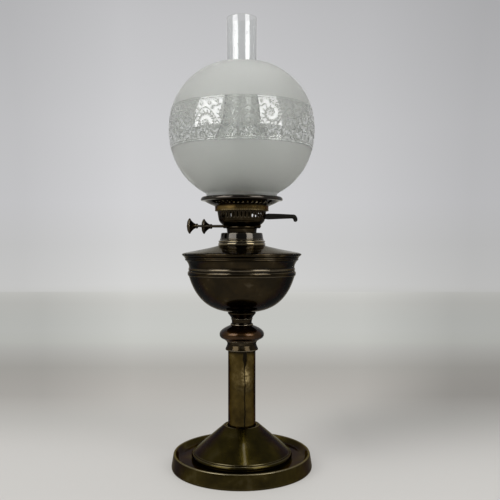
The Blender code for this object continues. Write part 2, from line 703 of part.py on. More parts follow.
def make_font_socket(material):
    """Turned neck with a bead below and a flange above, screwed on the rod."""
    rod = ROD_RADIUS + FIT
    hole_top = ROD_TOP + FIT
    groove_height = SOCKET_FOOT + SOCKET_HEIGHT * SOCKET_GROOVE_SHARE
    neck_height = SOCKET_FOOT + SOCKET_HEIGHT * SOCKET_NECK_SHARE
    groove = (SOCKET_GROOVE_RADIUS, groove_height)
    neck = (SOCKET_NECK_RADIUS, neck_height)
    outline = [(0, SOCKET_TOP), (SOCKET_TOP_RADIUS, SOCKET_TOP),
               (SOCKET_TOP_RADIUS, SOCKET_TOP - FIT)]
    outline += bend(outline[-1], groove, SOCKET_CROWN_SHARES, 3)
    outline += bend(groove, neck, SOCKET_NECK_SHARES, 2)
    outline += bend(neck, (SOCKET_BEAD_RADIUS, SOCKET_FOOT + SOCKET_BEAD_HEIGHT),
                    SOCKET_FOOT_SHARES, 1)
    outline += [(SOCKET_BEAD_RADIUS, SOCKET_FOOT), (rod, SOCKET_FOOT), (rod, hole_top),
                (0, hole_top)]
    turned("font_socket", outline, NARROW_FACET_COUNT, material)


def font_belly(inset, steps):
    """The bowl's lower swell from its bead down to its seat, moved inwards by a wall."""
    top = (FONT_BELLY_RADIUS - inset, FONT_BEAD_FOOT)
    seat = (FONT_SEAT_RADIUS, FONT_FOOT + inset)
    return [top] + bend(top, seat, FONT_BELLY_SHARES, steps)


def font_outside():
    """The bowl's outside from its sharp rim down to its seat."""
    lip = (FONT_LIP_RADIUS, FONT_LIP)
    waist = (FONT_WAIST_RADIUS, FONT_WAIST)
    bead_top = FONT_BEAD_FOOT + FONT_BEAD_HEIGHT
    rim = (FONT_RIM_RADIUS, FONT_RIM)
    path = [rim, (FONT_RIM_RADIUS, FONT_RIM - FONT_RIM_EDGE)]
    path += bend(path[-1], lip, FONT_RIM_SHARES, 2)
    path += [(FONT_LIP_RADIUS, FONT_LIP - FONT_RIM_EDGE)]
    path += bend(path[-1], waist, FONT_WAIST_SHARES, 2)
    path += [(FONT_WAIST_RADIUS, bead_top + FONT_RIM_EDGE), (FONT_BEAD_RADIUS, bead_top - FONT_RIM_EDGE),
             (FONT_BEAD_RADIUS, FONT_BEAD_FOOT + FONT_RIM_EDGE)]
    return path + font_belly(0, 7) + [(0, FONT_FOOT)]


def font_inside():
    """The bowl's inside from its bottom up to the rim."""
    path = [(0, FONT_FOOT + SHEET)] + font_belly(SHEET, 4)[::-1]
    path += [(FONT_WAIST_RADIUS - SHEET, FONT_WAIST), (FONT_LIP_RADIUS - SHEET, FONT_LIP),
             (FONT_RIM_RADIUS - 2 * SHEET, FONT_RIM)]
    return path


def make_font_bowl(material):
    """Spun bowl of the oil font."""
    turned("font_bowl", font_inside() + font_outside(), WIDE_FACET_COUNT, material)


def make_font_cover(material):
    """Shallow cover whose edge lies on the bowl's rim, with a flat seat round its hole."""
    rim = (FONT_RIM_RADIUS, COVER_FOOT + FONT_RIM_EDGE)
    shoulder = (COVER_SHOULDER_RADIUS, COVER_FOOT + COVER_HEIGHT * COVER_SHOULDER_SHARE)
    seat = (COVER_SEAT_RADIUS, COVER_TOP)
    path = [(COVER_HOLE_RADIUS, COVER_TOP), seat]
    path += bend(seat, shoulder, COVER_CROWN_SHARES, 3)
    path += bend(shoulder, rim, COVER_EDGE_SHARES, 2)
    under = offset(path, SHEET)[:-2]
    land = FONT_RIM_RADIUS - 4 * SHEET
    outline = path + [(FONT_RIM_RADIUS, COVER_FOOT), (land, COVER_FOOT)] + under[::-1]
    turned("font_cover", outline, WIDE_FACET_COUNT, material)


def lug_angle(index):
    """The angle of a bayonet lug when the burner is locked."""
    return ring_angle(index + 0.75, LUG_COUNT)


def make_font_collar(material):
    """Beaded ring with a spigot in the cover, and a lip notched for the burner's lugs."""
    bore = SPIGOT_RADIUS - RING_SPIGOT_WALL
    belly = (RING_RADIUS, RING_FOOT + RING_HEIGHT * RING_BELLY_SHARE)
    shoulder = (RING_RADIUS - RING_LIP_HEIGHT, RING_TOP)
    foot = (RING_RADIUS - RING_LIP_HEIGHT, RING_FOOT)
    outline = [(RING_LIP_RADIUS, RING_TOP), shoulder]
    outline += bend(shoulder, belly, RING_CROWN_SHARES, 2)
    outline += bend(belly, foot, RING_UNDER_SHARES, 2)
    spigot_foot = RING_FOOT - RING_SPIGOT_DEPTH
    under_lip = RING_TOP - RING_LIP_HEIGHT
    outline += [(SPIGOT_RADIUS, RING_FOOT), (SPIGOT_RADIUS, spigot_foot), (bore, spigot_foot),
                (bore, under_lip), (RING_LIP_RADIUS, under_lip)]
    ring = turned("font_collar", outline, NARROW_FACET_COUNT, material)
    notch_reach = DRUM_RADIUS + LUG_REACH + FIT - RING_LIP_RADIUS + OVERRUN
    size = (notch_reach, LUG_WIDTH + 2 * LUG_SIDE_GAP, RING_LIP_HEIGHT + 2 * FIT)
    centre = (RING_LIP_RADIUS - OVERRUN + notch_reach / 2, 0, RING_TOP - RING_LIP_HEIGHT / 2)
    notches = [(size, centre, lug_angle(i) + TWIST) for i in range(LUG_COUNT)]
    join(ring, link_cutter("lug_notches", boxes_mesh("lug_notches", notches)))


def make_bayonet_cap(material, burner):
    """Burner's foot: a coned skirt, a flat top and a drum whose lugs lock under the lip."""
    under = CAP_TOP - SHEET
    drum_foot = CAP_TOP - DRUM_DEPTH
    drum_bore = DRUM_RADIUS - DRUM_WALL
    outline = [(CAP_BORE_RADIUS, CAP_TOP), (CAP_TOP_RADIUS, CAP_TOP), (CAP_FOOT_RADIUS, CAP_FOOT),
               (CAP_FOOT_RADIUS - SHEET, CAP_FOOT), (CAP_TOP_RADIUS - SHEET, under),
               (DRUM_RADIUS, under), (DRUM_RADIUS, drum_foot), (drum_bore, drum_foot),
               (drum_bore, under), (CAP_BORE_RADIUS, under)]
    cap = turned("bayonet_cap", outline, NARROW_FACET_COUNT, material, burner)
    root = drum_bore + DRUM_WALL / 2
    reach = DRUM_RADIUS + LUG_REACH - root
    top = RING_TOP - RING_LIP_HEIGHT - FIT
    centre = (root + reach / 2, 0, top - LUG_HEIGHT / 2)
    lugs = [((reach, LUG_WIDTH, LUG_HEIGHT), centre, lug_angle(i)) for i in range(LUG_COUNT)]
    join(cap, link_cutter("bayonet_lugs", boxes_mesh("bayonet_lugs", lugs)), "UNION")


def cup_outside():
    """The cup's outside from its rim down to its foot."""
    ring_foot = CUP_FOOT + CUP_WAIST_HEIGHT
    ring_top = ring_foot + CUP_RING_HEIGHT
    shoulder = (CUP_SHOULDER_RADIUS, ring_top + CUP_SHOULDER_HEIGHT)
    band = (CUP_BAND_RADIUS, shoulder[1] + CUP_BAND_HEIGHT)
    waist = (CUP_WAIST_RADIUS + CUP_WALL / 2, ring_foot)
    path = [(CUP_RIM_RADIUS, CUP_RIM), band]
    path += [shoulder]
    path += bend(shoulder, (CUP_RING_RADIUS, ring_top), CUP_BELLY_SHARES, 3)
    path += [(CUP_RING_RADIUS, ring_foot + CUP_RING_HEIGHT / 3), waist]
    return path + [(CUP_WAIST_RADIUS, CUP_FOOT)]


def cup_inside():
    """The cup's inside, plain behind the ring at its waist."""
    path = cup_outside()
    return offset(path[:-3] + path[-2:], CUP_WALL)


def make_burner_cup(material, burner):
    """Pierced basket of the burner, with a slot for the lever and holes for the winders."""
    mesh = turned_mesh("burner_cup", cup_outside() + cup_inside()[::-1], CUP_SLOT_COUNT)
    mesh.transform(Matrix.Rotation(ring_angle(0.5, CUP_SLOT_COUNT), 4, "Z"))
    cup = link_part("burner_cup", mesh, material, burner)
    reach = CUP_RIM_RADIUS + OVERRUN - CAP_BORE_RADIUS
    middle = CAP_BORE_RADIUS + reach / 2
    height = CUP_RIM - CUP_SLOT_DROP - CUP_SLOT_HEIGHT / 2
    slot = (reach, CUP_SLOT_WIDTH, CUP_SLOT_HEIGHT)
    slots = [(slot, (middle, 0, height), ring_angle(i, CUP_SLOT_COUNT))
             for i in range(1, CUP_SLOT_COUNT)]
    sweep = LEVER_ROOT_HEIGHT + (CUP_RIM_RADIUS - PIVOT_REACH) * math.sin(LEVER_TURN)
    lever_slot = (reach, LEVER_THICKNESS + 2 * BRACKET_SIDE_GAP, sweep + 2 * FIT)
    top = PIVOT_HEIGHT + LEVER_ROOT_HEIGHT / 2 + FIT
    slots.append((lever_slot, (middle, 0, top - lever_slot[2] / 2), 0))
    join(cup, link_cutter("cup_slots", boxes_mesh("cup_slots", slots)))
    length = 2 * CUP_RIM_RADIUS
    holes = [(BUSH_RADIUS + FIT, length, (0, side * SHAFT_OFFSET, SHAFT_HEIGHT), (1, 0, 0))
             for side in (-1, 1)]
    join(cup, link_cutter("shaft_holes", rods_mesh("shaft_holes", holes, PIN_FACET_COUNT)))


def make_burner_deck(material, burner):
    """Perforated plate inside the cup. The wick tubes stand in its two slots."""
    radius = radius_at(cup_inside(), DECK_FOOT) - FIT
    loops = [ring_outline(radius, MID_FACET_COUNT)]
    for side in (-1, 1):
        loops.append(rounded_rectangle(TUBE_WIDTH + 2 * FIT, TUBE_DEPTH + 2 * FIT, TUBE_CORNER,
                                       (0, side * WICK_OFFSET)))
    for index in range(DECK_HOLE_COUNT):
        angle = ring_angle(index + 0.5, DECK_HOLE_COUNT)
        centre = (DECK_HOLE_CIRCLE * math.cos(angle), DECK_HOLE_CIRCLE * math.sin(angle))
        loops.append(ring_outline(DECK_HOLE_RADIUS, 6, centre))
    mesh = plate_mesh("burner_deck", loops, DECK_THICKNESS)
    mesh.transform(Matrix.Translation((0, 0, DECK_FOOT + DECK_THICKNESS / 2)))
    link_part("burner_deck", mesh, material, burner)


def make_wick_tube(name, side, material, burner):
    """Flat tube for one wick, with two windows for the winder's wheels."""
    centre = (0, side * WICK_OFFSET)
    outer = rounded_rectangle(TUBE_WIDTH, TUBE_DEPTH, TUBE_CORNER, centre)
    inner = rounded_rectangle(TUBE_BORE_WIDTH, TUBE_BORE, WICK_CORNER, centre)
    mesh = plate_mesh(name, (outer, inner), TUBE_TOP - TUBE_FOOT)
    mesh.transform(Matrix.Translation((0, 0, (TUBE_TOP + TUBE_FOOT) / 2)))
    tube = link_part(name, mesh, material, burner)
    wall = side * (WICK_OFFSET + TUBE_DEPTH / 2)
    bite = SHAFT_OFFSET - WICK_OFFSET - TUBE_DEPTH / 2
    half_height = math.sqrt(WHEEL_RADIUS ** 2 - bite ** 2) + 2 * FIT
    size = (WHEEL_THICKNESS + 4 * FIT, 2 * TUBE_WALL + FIT, 2 * half_height)
    windows = [(size, (x * WHEEL_SPACING / 2, wall, SHAFT_HEIGHT), 0) for x in (-1, 1)]
    join(tube, link_cutter(name + "_windows", boxes_mesh(name + "_windows", windows)))


def make_bushes(material, burner):
    """Four bushes in the cup's wall, which carry the two winder shafts."""
    middle = BUSH_START + BUSH_LENGTH / 2
    for row, side in (("front", -1), ("back", 1)):
        for hand, end in (("left", -1), ("right", 1)):
            name = f"shaft_bush_{row}_{hand}"
            outer = ring_outline(BUSH_RADIUS, PIN_FACET_COUNT)
            bore = ring_outline(BUSH_BORE, PIN_FACET_COUNT)
            mesh = plate_mesh(name, (outer, bore), BUSH_LENGTH)
            turn = Matrix.Rotation(math.pi / 2, 4, "Y")
            place = (end * middle, side * SHAFT_OFFSET, SHAFT_HEIGHT)
            mesh.transform(Matrix.Translation(place) @ turn)
            link_part(name, mesh, material, burner)


def make_bracket(material, burner):
    """Two cheeks on a base, standing on the deck, which hold the lever's pin."""
    inner = LEVER_THICKNESS / 2 + BRACKET_SIDE_GAP
    outer = inner + BRACKET_CHEEK
    foot = outer + BRACKET_FOOT
    base = DECK_TOP + FIT
    floor = base + BRACKET_BASE
    top = PIVOT_HEIGHT + PIN_RADIUS + BRACKET_CHEEK
    half = [(foot, base), (foot, floor), (outer, floor), (outer, top), (inner, top), (inner, floor)]
    outline = half + [(-y, z) for y, z in half[::-1]]
    mesh = plate_mesh("lever_bracket", (outline,), BRACKET_LENGTH)
    stand = Matrix(((0, 0, 1, PIVOT_REACH - BRACKET_BASE), (1, 0, 0, 0), (0, 1, 0, 0), (0, 0, 0, 1)))
    mesh.transform(stand)
    bracket = link_part("lever_bracket", mesh, material, burner)
    hole = (PIN_RADIUS + FIT, 2 * (foot + OVERRUN), (PIVOT_REACH, 0, PIVOT_HEIGHT), (0, 1, 0))
    join(bracket, link_cutter("pin_hole", rods_mesh("pin_hole", (hole,), PIN_FACET_COUNT)))
    length = 2 * (outer + PIN_OVERHANG)
    pin = (PIN_RADIUS, length, (PIVOT_REACH, 0, PIVOT_HEIGHT), (0, 1, 0))
    link_part("lever_pin", rods_mesh("lever_pin", (pin,), PIN_FACET_COUNT), material, burner)


def make_wick(name, side, material, carrier):
    """Flat woven wick, from the oil up through its tube."""
    outline = rounded_rectangle(WICK_WIDTH, WICK_THICKNESS, WICK_CORNER, (0, side * WICK_OFFSET))
    mesh = plate_mesh(name, (outline,), WICK_LENGTH)
    mesh.transform(Matrix.Translation((0, 0, WICK_TOP - WICK_LENGTH / 2)))
    link_part(name, mesh, material, carrier)


def toothed_wheel_mesh(name):
    """A thin wheel with pointed teeth, bored for its shaft, standing across X."""
    teeth = []
    for index in range(2 * WHEEL_TEETH):
        radius = WHEEL_RADIUS if index % 2 == 0 else WHEEL_ROOT_RADIUS
        angle = ring_angle(index, 2 * WHEEL_TEETH)
        teeth.append((radius * math.cos(angle), radius * math.sin(angle)))
    bore = ring_outline(BUSH_BORE, PIN_FACET_COUNT)
    mesh = plate_mesh(name, (teeth, bore), WHEEL_THICKNESS)
    mesh.transform(Matrix.Rotation(math.pi / 2, 4, "Y"))
    return mesh


def knob_outline():
    """Half section of a knob, its domed face at the top and its hub below."""
    dome = KNOB_LENGTH - KNOB_DOME
    bore = SHAFT_RADIUS + FIT
    edge = (KNOB_RADIUS, dome)
    back = (KNOB_RADIUS, dome - KNOB_EDGE)
    hub = (KNOB_HUB_RADIUS, KNOB_HUB_LENGTH)
    outline = [(0, KNOB_LENGTH)] + bend((0, KNOB_LENGTH), edge, KNOB_FACE_SHARES, 2)
    outline += [back] + bend(back, hub, KNOB_BACK_SHARES, 3)
    outline += [(KNOB_HUB_RADIUS, 0), (bore, 0), (bore, KNOB_SOCKET), (0, KNOB_SOCKET)]
    return outline


def make_winder(row, side, reach, materials, burner):
    """One shaft with two toothed wheels and a knob at its left end."""
    place = (0, side * SHAFT_OFFSET, SHAFT_HEIGHT)
    winder = joint_empty(f"winder_{row}", place, burner)
    hub_end = reach - KNOB_LENGTH
    left = hub_end + KNOB_SOCKET - FIT
    length = left + SHAFT_END
    rod = (SHAFT_RADIUS, length, (SHAFT_END - length / 2, place[1], place[2]), (1, 0, 0))
    shaft = rods_mesh(f"winder_shaft_{row}", (rod,), PIN_FACET_COUNT)
    smooth(shaft)
    link_part(f"winder_shaft_{row}", shaft, materials["steel"], winder)
    knob = turned_mesh(f"winder_knob_{row}", knob_outline(), SMALL_FACET_COUNT)
    knob.transform(Matrix.Translation((-hub_end, place[1], place[2]))
                   @ Matrix.Rotation(-math.pi / 2, 4, "Y"))
    link_part(f"winder_knob_{row}", knob, materials["dark_brass"], winder)
    for hand, end in (("left", -1), ("right", 1)):
        name = f"winder_wheel_{row}_{hand}"
        mesh = toothed_wheel_mesh(name)
        mesh.transform(Matrix.Translation((end * WHEEL_SPACING / 2, place[1], place[2])))
        link_part(name, mesh, materials["steel"], winder)


def lever_outline():
    """The lever's side, from its pivot: X outwards, Z up."""
    root = CUP_RIM_RADIUS + OVERRUN - PIVOT_REACH
    half_root = LEVER_ROOT_HEIGHT / 2
    half_tip = LEVER_TIP_HEIGHT / 2
    tip = LEVER_REACH - LEVER_TIP_HEIGHT
    curl = (LEVER_REACH - LEVER_CURL_RADIUS, -LEVER_CURL_DROP)
    bar_top = (tip, half_tip)
    curl_outside = (LEVER_REACH, -LEVER_CURL_DROP)
    curl_inside = (LEVER_REACH - 2 * LEVER_CURL_RADIUS, -LEVER_CURL_DROP)
    bar_under = (curl_inside[0] - LEVER_TIP_HEIGHT / 2, -half_tip)
    arm_end = (-LEVER_ARM - LEVER_ARM_HEIGHT / 2, LEVER_ARM_RISE)
    arm_edge = (-LEVER_ARM + LEVER_ARM_HEIGHT / 2, LEVER_ARM_RISE)
    outer = [(root, half_root), bar_top] + bend(bar_top, curl_outside, LEVER_CURL_SHARES, 3)
    outer += arc(curl, LEVER_CURL_RADIUS, *LEVER_CURL_TURNS, 4)
    outer += bend(curl_inside, bar_under, LEVER_UNDER_SHARES, 2)
    outer += [(root, -half_root)] + arc((0, 0), LEVER_HUB_RADIUS, *LEVER_HUB_UNDER_TURNS, 3)
    outer += [(arm_end[0], LEVER_ARM_RISE - 2 * LEVER_ARM_HEIGHT), arm_end, arm_edge,
              (arm_edge[0], LEVER_ARM_RISE - LEVER_ARM_HEIGHT)]
    outer += arc((0, 0), LEVER_HUB_RADIUS, *LEVER_HUB_TOP_TURNS, 2)
    return outer


def make_lever(material, lever):
    """Extinguisher lever: a bar on edge outside and an arm under the snuffer inside."""
    hole = ring_outline(PIN_RADIUS + FIT, PIN_FACET_COUNT)
    mesh = plate_mesh("extinguisher_lever", (lever_outline(), hole), LEVER_THICKNESS)
    stand = Matrix.Rotation(math.pi / 2, 4, "X")
    mesh.transform(Matrix.Translation((PIVOT_REACH, 0, PIVOT_HEIGHT)) @ stand)
    link_part("extinguisher_lever", mesh, material, lever)


def make_snuffer(material, carrier):
    """Two flat sleeves round the wick tubes, joined by the strap that the lever lifts."""
    foot = PIVOT_HEIGHT + LEVER_ARM_RISE + FIT
    bore = (TUBE_WIDTH + 2 * FIT, TUBE_DEPTH + 2 * FIT)
    outer = (bore[0] + 2 * SNUFFER_WALL, bore[1] + 2 * SNUFFER_WALL)
    loops = []
    for side in (-1, 1):
        centre = (0, side * WICK_OFFSET)
        loops.append(rounded_rectangle(*outer, TUBE_CORNER + SNUFFER_WALL, centre))
        loops.append(rounded_rectangle(*bore, TUBE_CORNER, centre))
    mesh = plate_mesh("snuffer", loops, SNUFFER_HEIGHT)
    mesh.transform(Matrix.Translation((0, 0, foot + SNUFFER_HEIGHT / 2)))
    snuffer = link_part("snuffer", mesh, material, carrier)
    gap = WICK_SPACING - outer[1]
    size = (SNUFFER_STRAP_LENGTH, gap + SNUFFER_WALL, SNUFFER_STRAP)
    centre = (PIVOT_REACH - LEVER_ARM + SNUFFER_STRAP, 0, foot + SNUFFER_STRAP / 2)
    strap = boxes_mesh("snuffer_strap", [(size, centre, 0)])
    join(snuffer, link_cutter("snuffer_strap", strap), "UNION")


def gallery_flare():
    """The gallery's underside, from its lip's hem down the flare to the skirt."""
    edge = (GALLERY_RADIUS, SKIRT_TOP + GALLERY_RISE)
    crest = (GALLERY_RADIUS - GALLERY_LIP_LEAN, edge[1] + GALLERY_LIP_HEIGHT)
    hem = (crest[0] - GALLERY_HEM, crest[1] - GALLERY_HEM / 3)
    start = (SKIRT_RADIUS, SKIRT_TOP)
    run = (GALLERY_CUT_RADIUS + GALLERY_CUT_LENGTH * GALLERY_RUN_SHARE,
           SKIRT_TOP + GALLERY_RISE * GALLERY_RUN_RISE_SHARE)
    return [hem, crest, edge, run, start]


def height_on(path, radius):
    """The height of the flare, below the lip, at a radius."""
    rising = np.array(path[2:])[::-1]
    return float(np.interp(radius, rising[:, 0], rising[:, 1]))


def make_gallery(material, gallery):
    """Pierced gallery: a skirt over the cup, a seat for the chimney and a flare for the globe."""
    flare = gallery_flare()
    above = offset(flare, SHEET)
    bore = SKIRT_RADIUS - SKIRT_WALL
    corner = (SKIRT_RADIUS, SEAT_TOP)
    root = (SKIRT_RADIUS, height_on(above, SKIRT_RADIUS))
    outline = [(SEAT_BORE_RADIUS, SEAT_TOP), corner, root] + above[:-1][::-1] + flare
    outline += [(SKIRT_RADIUS, SEAT_UNDERSIDE - SKIRT_DROP), (bore, SEAT_UNDERSIDE - SKIRT_DROP),
                (bore, SEAT_UNDERSIDE), (SEAT_BORE_RADIUS, SEAT_UNDERSIDE)]
    piece = turned("gallery", outline, GALLERY_CUT_COUNT, material, gallery)
    half_length = GALLERY_CUT_LENGTH / 2
    half_width = GALLERY_CUT_WIDTH / 2
    chevron = [(-half_length, -half_width), (0, GALLERY_CUT_POINT - half_width),
               (half_length, -half_width), (half_length, half_width),
               (0, GALLERY_CUT_POINT + half_width), (-half_length, half_width)]
    loops = []
    for index in range(GALLERY_CUT_COUNT):
        angle = ring_angle(index + 0.5, GALLERY_CUT_COUNT)
        cosine = math.cos(angle)
        sine = math.sin(angle)
        loop = [(GALLERY_CUT_RADIUS + u, v - GALLERY_CUT_POINT / 2) for u, v in chevron]
        loops.append([(x * cosine - y * sine, x * sine + y * cosine) for x, y in loop])
    depth = GALLERY_RISE + 2 * OVERRUN
    cutter = plate_mesh("gallery_cuts", loops, depth)
    cutter.transform(Matrix.Translation((0, 0, SKIRT_TOP + GALLERY_RISE / 2)))
    join(piece, link_cutter("gallery_cuts", cutter))


def make_springs(material, gallery):
    """Ring of spring fingers that grips the chimney's foot."""
    inner = CHIMNEY_FOOT_RADIUS + FIT
    outer = inner + SPRING_WALL
    top = GLASS_FOOT + SPRING_HEIGHT
    outline = [(inner + SPRING_FLARE, top), (outer + SPRING_FLARE, top),
               (outer, top - 2 * SPRING_FLARE), (outer, GLASS_FOOT), (inner, GLASS_FOOT),
               (inner, top - 2 * SPRING_FLARE)]
    ring = turned("chimney_springs", outline, MID_FACET_COUNT, material, gallery)
    size = (2 * (outer + OVERRUN), SPRING_SLIT, SPRING_HEIGHT)
    half_count = SPRING_COUNT // 2
    cross = [(size, (0, 0, GLASS_FOOT + SPRING_BAND + SPRING_HEIGHT / 2), ring_angle(i, SPRING_COUNT))
             for i in range(half_count)]
    for index, box in enumerate(cross):
        name = f"spring_slit_{index}"
        join(ring, link_cutter(name, boxes_mesh(name, [box])))


def make_dome(material, gallery):
    """Flame dome over the wicks, with a slot above each one."""
    t = np.linspace(0, 1, 6)
    rise = np.sin(t * math.pi / 2) ** (2 / DOME_POWER)
    spread = np.cos(t * math.pi / 2) ** (2 / DOME_POWER)
    rise[0] = 0
    spread[-1] = 0
    outside = [(DOME_RADIUS * r, GLASS_FOOT + DOME_HEIGHT * z) for r, z in zip(spread, rise)][::-1]
    bore = DOME_RADIUS - DOME_WALL
    height = DOME_HEIGHT - DOME_WALL
    inside = [(bore * r, GLASS_FOOT + height * z) for r, z in zip(spread, rise)]
    dome = turned("flame_dome", outside[:-1] + [(DOME_RADIUS, GLASS_FOOT)] + inside,
                  NARROW_FACET_COUNT, material, gallery)
    size = (WICK_WIDTH + 2 * FLAME_SLOT_ROOM, WICK_THICKNESS + 2 * FLAME_SLOT_ROOM, DOME_HEIGHT)
    slots = [(size, (0, side * WICK_OFFSET, GLASS_FOOT + DOME_HEIGHT), 0) for side in (-1, 1)]
    join(dome, link_cutter("flame_slots", boxes_mesh("flame_slots", slots)))


def chimney_side(inset):
    """The chimney's side from its top down, moved inwards by a wall."""
    top = (CHIMNEY_TOP_RADIUS - inset, GLASS_FOOT + CHIMNEY_LENGTH)
    throat = (CHIMNEY_THROAT_RADIUS - inset, GLASS_FOOT + CHIMNEY_THROAT_HEIGHT)
    waist = (CHIMNEY_WAIST_RADIUS - inset, GLASS_FOOT + CHIMNEY_WAIST_HEIGHT)
    bulge = (CHIMNEY_BULGE_RADIUS - inset, GLASS_FOOT + CHIMNEY_BULGE_HEIGHT)
    collar = (CHIMNEY_FOOT_RADIUS - inset, GLASS_FOOT + CHIMNEY_COLLAR_HEIGHT)
    path = [top, throat] + bend(throat, waist, CHIMNEY_THROAT_SHARES, 2)
    path += bend(waist, bulge, CHIMNEY_WAIST_SHARES, 4)
    path += bend(bulge, collar, CHIMNEY_BULGE_SHARES, 2)
    return path + [(CHIMNEY_FOOT_RADIUS - inset, GLASS_FOOT)]


def make_chimney(material, chimney):
    """Clear glass chimney."""
    outline = chimney_side(0) + chimney_side(CHIMNEY_WALL)[::-1]
    turned("chimney", outline, NARROW_FACET_COUNT, material, chimney)


def globe_foot():
    """The height of the globe's foot, which rests on the gallery's flare."""
    return height_on(offset(gallery_flare(), SHEET), GLOBE_NECK_RADIUS) + FIT


def globe_side(inset, steps):
    """The globe's side from its mouth down to its neck, moved inwards by a wall."""
    equator = globe_foot() + GLOBE_NECK_HEIGHT + GLOBE_LOWER_HEIGHT
    power = 2 / GLOBE_POWER
    mouth_share = GLOBE_MOUTH_RADIUS / GLOBE_RADIUS
    neck_share = GLOBE_NECK_RADIUS / GLOBE_RADIUS
    upper_turn = math.acos(mouth_share ** (1 / power))
    lower_turn = math.acos(neck_share ** (1 / power))
    upper_half = GLOBE_UPPER_HEIGHT / math.sin(upper_turn) ** power
    lower_half = GLOBE_LOWER_HEIGHT / math.sin(lower_turn) ** power
    path = []
    for turn in np.linspace(upper_turn, -lower_turn, steps + 1):
        half = upper_half if turn > 0 else lower_half
        rise = math.copysign(abs(math.sin(turn)) ** power, turn) * half
        path.append((GLOBE_RADIUS * math.cos(turn) ** power - inset, equator + rise))
    return path + [(GLOBE_NECK_RADIUS - inset, globe_foot())]


def make_globe(material, globe):
    """Frosted glass globe with a ground mouth and a straight neck."""
    outline = globe_side(0, 12) + globe_side(GLOBE_WALL, 12)[::-1]
    turned("globe", outline, WIDE_FACET_COUNT, material, globe)


def build_lamp():
    """Make every piece, body by body."""
    clear_scene()
    materials = make_finishes()
    dark = materials["dark_brass"]
    worn = materials["worn_brass"]
    steel = materials["steel"]
    make_base_dish(dark)
    make_base_cone(dark)
    make_base_weight(materials["iron"])
    make_rod(steel)
    make_washer(steel)
    make_nut(steel)
    make_column(worn)
    make_column_collar(worn)
    make_knop(dark)
    make_font_socket(dark)
    make_font_bowl(dark)
    make_font_cover(dark)
    make_font_collar(worn)

    burner = joint_empty("burner", (0, 0, CAP_FOOT))
    make_bayonet_cap(dark, burner)
    make_burner_cup(dark, burner)
    make_burner_deck(dark, burner)
    make_bushes(dark, burner)
    make_bracket(steel, burner)
    winders = (("front", -1, FRONT_KNOB_REACH), ("back", 1, BACK_KNOB_REACH))
    for row, side, reach in winders:
        make_wick_tube(f"wick_tube_{row}", side, dark, burner)
        make_winder(row, side, reach, materials, burner)
        carrier = joint_empty(f"wick_feed_{row}", (0, side * WICK_OFFSET, WICK_TOP), burner)
        make_wick(f"wick_{row}", side, materials["cotton"], carrier)

    lever = joint_empty("lever_pivot", (PIVOT_REACH, 0, PIVOT_HEIGHT), burner)
    make_lever(dark, lever)
    make_snuffer(dark, joint_empty("snuffer_lift", (0, 0, PIVOT_HEIGHT), burner))

    gallery = joint_empty("gallery_lift", (0, 0, SEAT_UNDERSIDE), burner)
    make_gallery(worn, gallery)
    make_springs(steel, gallery)
    make_dome(dark, gallery)
    make_chimney(materials["clear_glass"], joint_empty("chimney_lift", (0, 0, GLASS_FOOT), gallery))
    make_globe(materials["frosted_glass"], joint_empty("globe_lift", (0, 0, globe_foot()), gallery))


build_lamp()
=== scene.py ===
# %% [markdown]
# # A brass oil lamp with a twin-wick burner
# The real lamp is mostly spun and turned brass: sheet or bar that was shaped while it
# spun on a lathe. Such a shape is one half section swept round an axis, so almost
# every piece below is a section worked out with numpy and turned round the lamp's axis.
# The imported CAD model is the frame: each new piece takes its place from it.

# %% Load the frame
import json
import math

import bmesh
import bpy
import numpy as np
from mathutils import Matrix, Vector

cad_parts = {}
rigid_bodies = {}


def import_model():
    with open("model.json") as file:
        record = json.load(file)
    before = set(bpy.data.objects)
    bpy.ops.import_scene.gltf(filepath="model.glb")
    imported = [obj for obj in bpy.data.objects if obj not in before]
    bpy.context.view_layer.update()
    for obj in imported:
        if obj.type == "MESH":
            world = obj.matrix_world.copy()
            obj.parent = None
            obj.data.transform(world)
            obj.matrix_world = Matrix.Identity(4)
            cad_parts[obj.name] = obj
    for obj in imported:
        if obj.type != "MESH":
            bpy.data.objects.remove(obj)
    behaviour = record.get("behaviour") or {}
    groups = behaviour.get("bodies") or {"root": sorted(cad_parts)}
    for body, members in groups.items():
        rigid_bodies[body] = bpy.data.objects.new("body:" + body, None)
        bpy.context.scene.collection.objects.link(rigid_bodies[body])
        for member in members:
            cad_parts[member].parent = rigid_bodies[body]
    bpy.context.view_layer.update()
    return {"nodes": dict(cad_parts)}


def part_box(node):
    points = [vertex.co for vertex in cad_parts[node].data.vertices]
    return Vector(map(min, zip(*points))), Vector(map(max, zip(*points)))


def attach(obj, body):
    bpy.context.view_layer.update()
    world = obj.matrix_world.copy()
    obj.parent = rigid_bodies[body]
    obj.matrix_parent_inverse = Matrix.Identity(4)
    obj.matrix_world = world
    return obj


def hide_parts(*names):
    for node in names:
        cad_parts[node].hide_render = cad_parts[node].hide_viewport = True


for leftover in list(bpy.data.objects):
    bpy.data.objects.remove(leftover)
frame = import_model()
MM = 0.001
TAU = 2 * math.pi

# %% [markdown]
# ## The camera
# The photograph was taken from about a metre away with a normal lens, level with the
# burner. The lamp stands a little left of the middle, so the camera stands a little to
# the right of the lamp's axis and looks straight along +Y.

# %% Camera
EYE = (11.4 * MM, -905.0 * MM, 308.4 * MM)
EYE_PITCH = math.radians(-0.55)
LENS_MM, SENSOR_MM = 46.9, 36.0
camera_data = bpy.data.cameras.new("camera")
camera_data.lens = LENS_MM
camera_data.sensor_width = SENSOR_MM
camera = bpy.data.objects.new("camera", camera_data)
camera.location = EYE
camera.rotation_euler = (math.pi / 2 + EYE_PITCH, 0, 0)
bpy.context.scene.collection.objects.link(camera)
bpy.context.scene.camera = camera
bpy.context.scene.view_settings.view_transform = "Standard"
print("camera:", [round(x / MM, 1) for x in EYE], "mm, lens", LENS_MM, "mm")

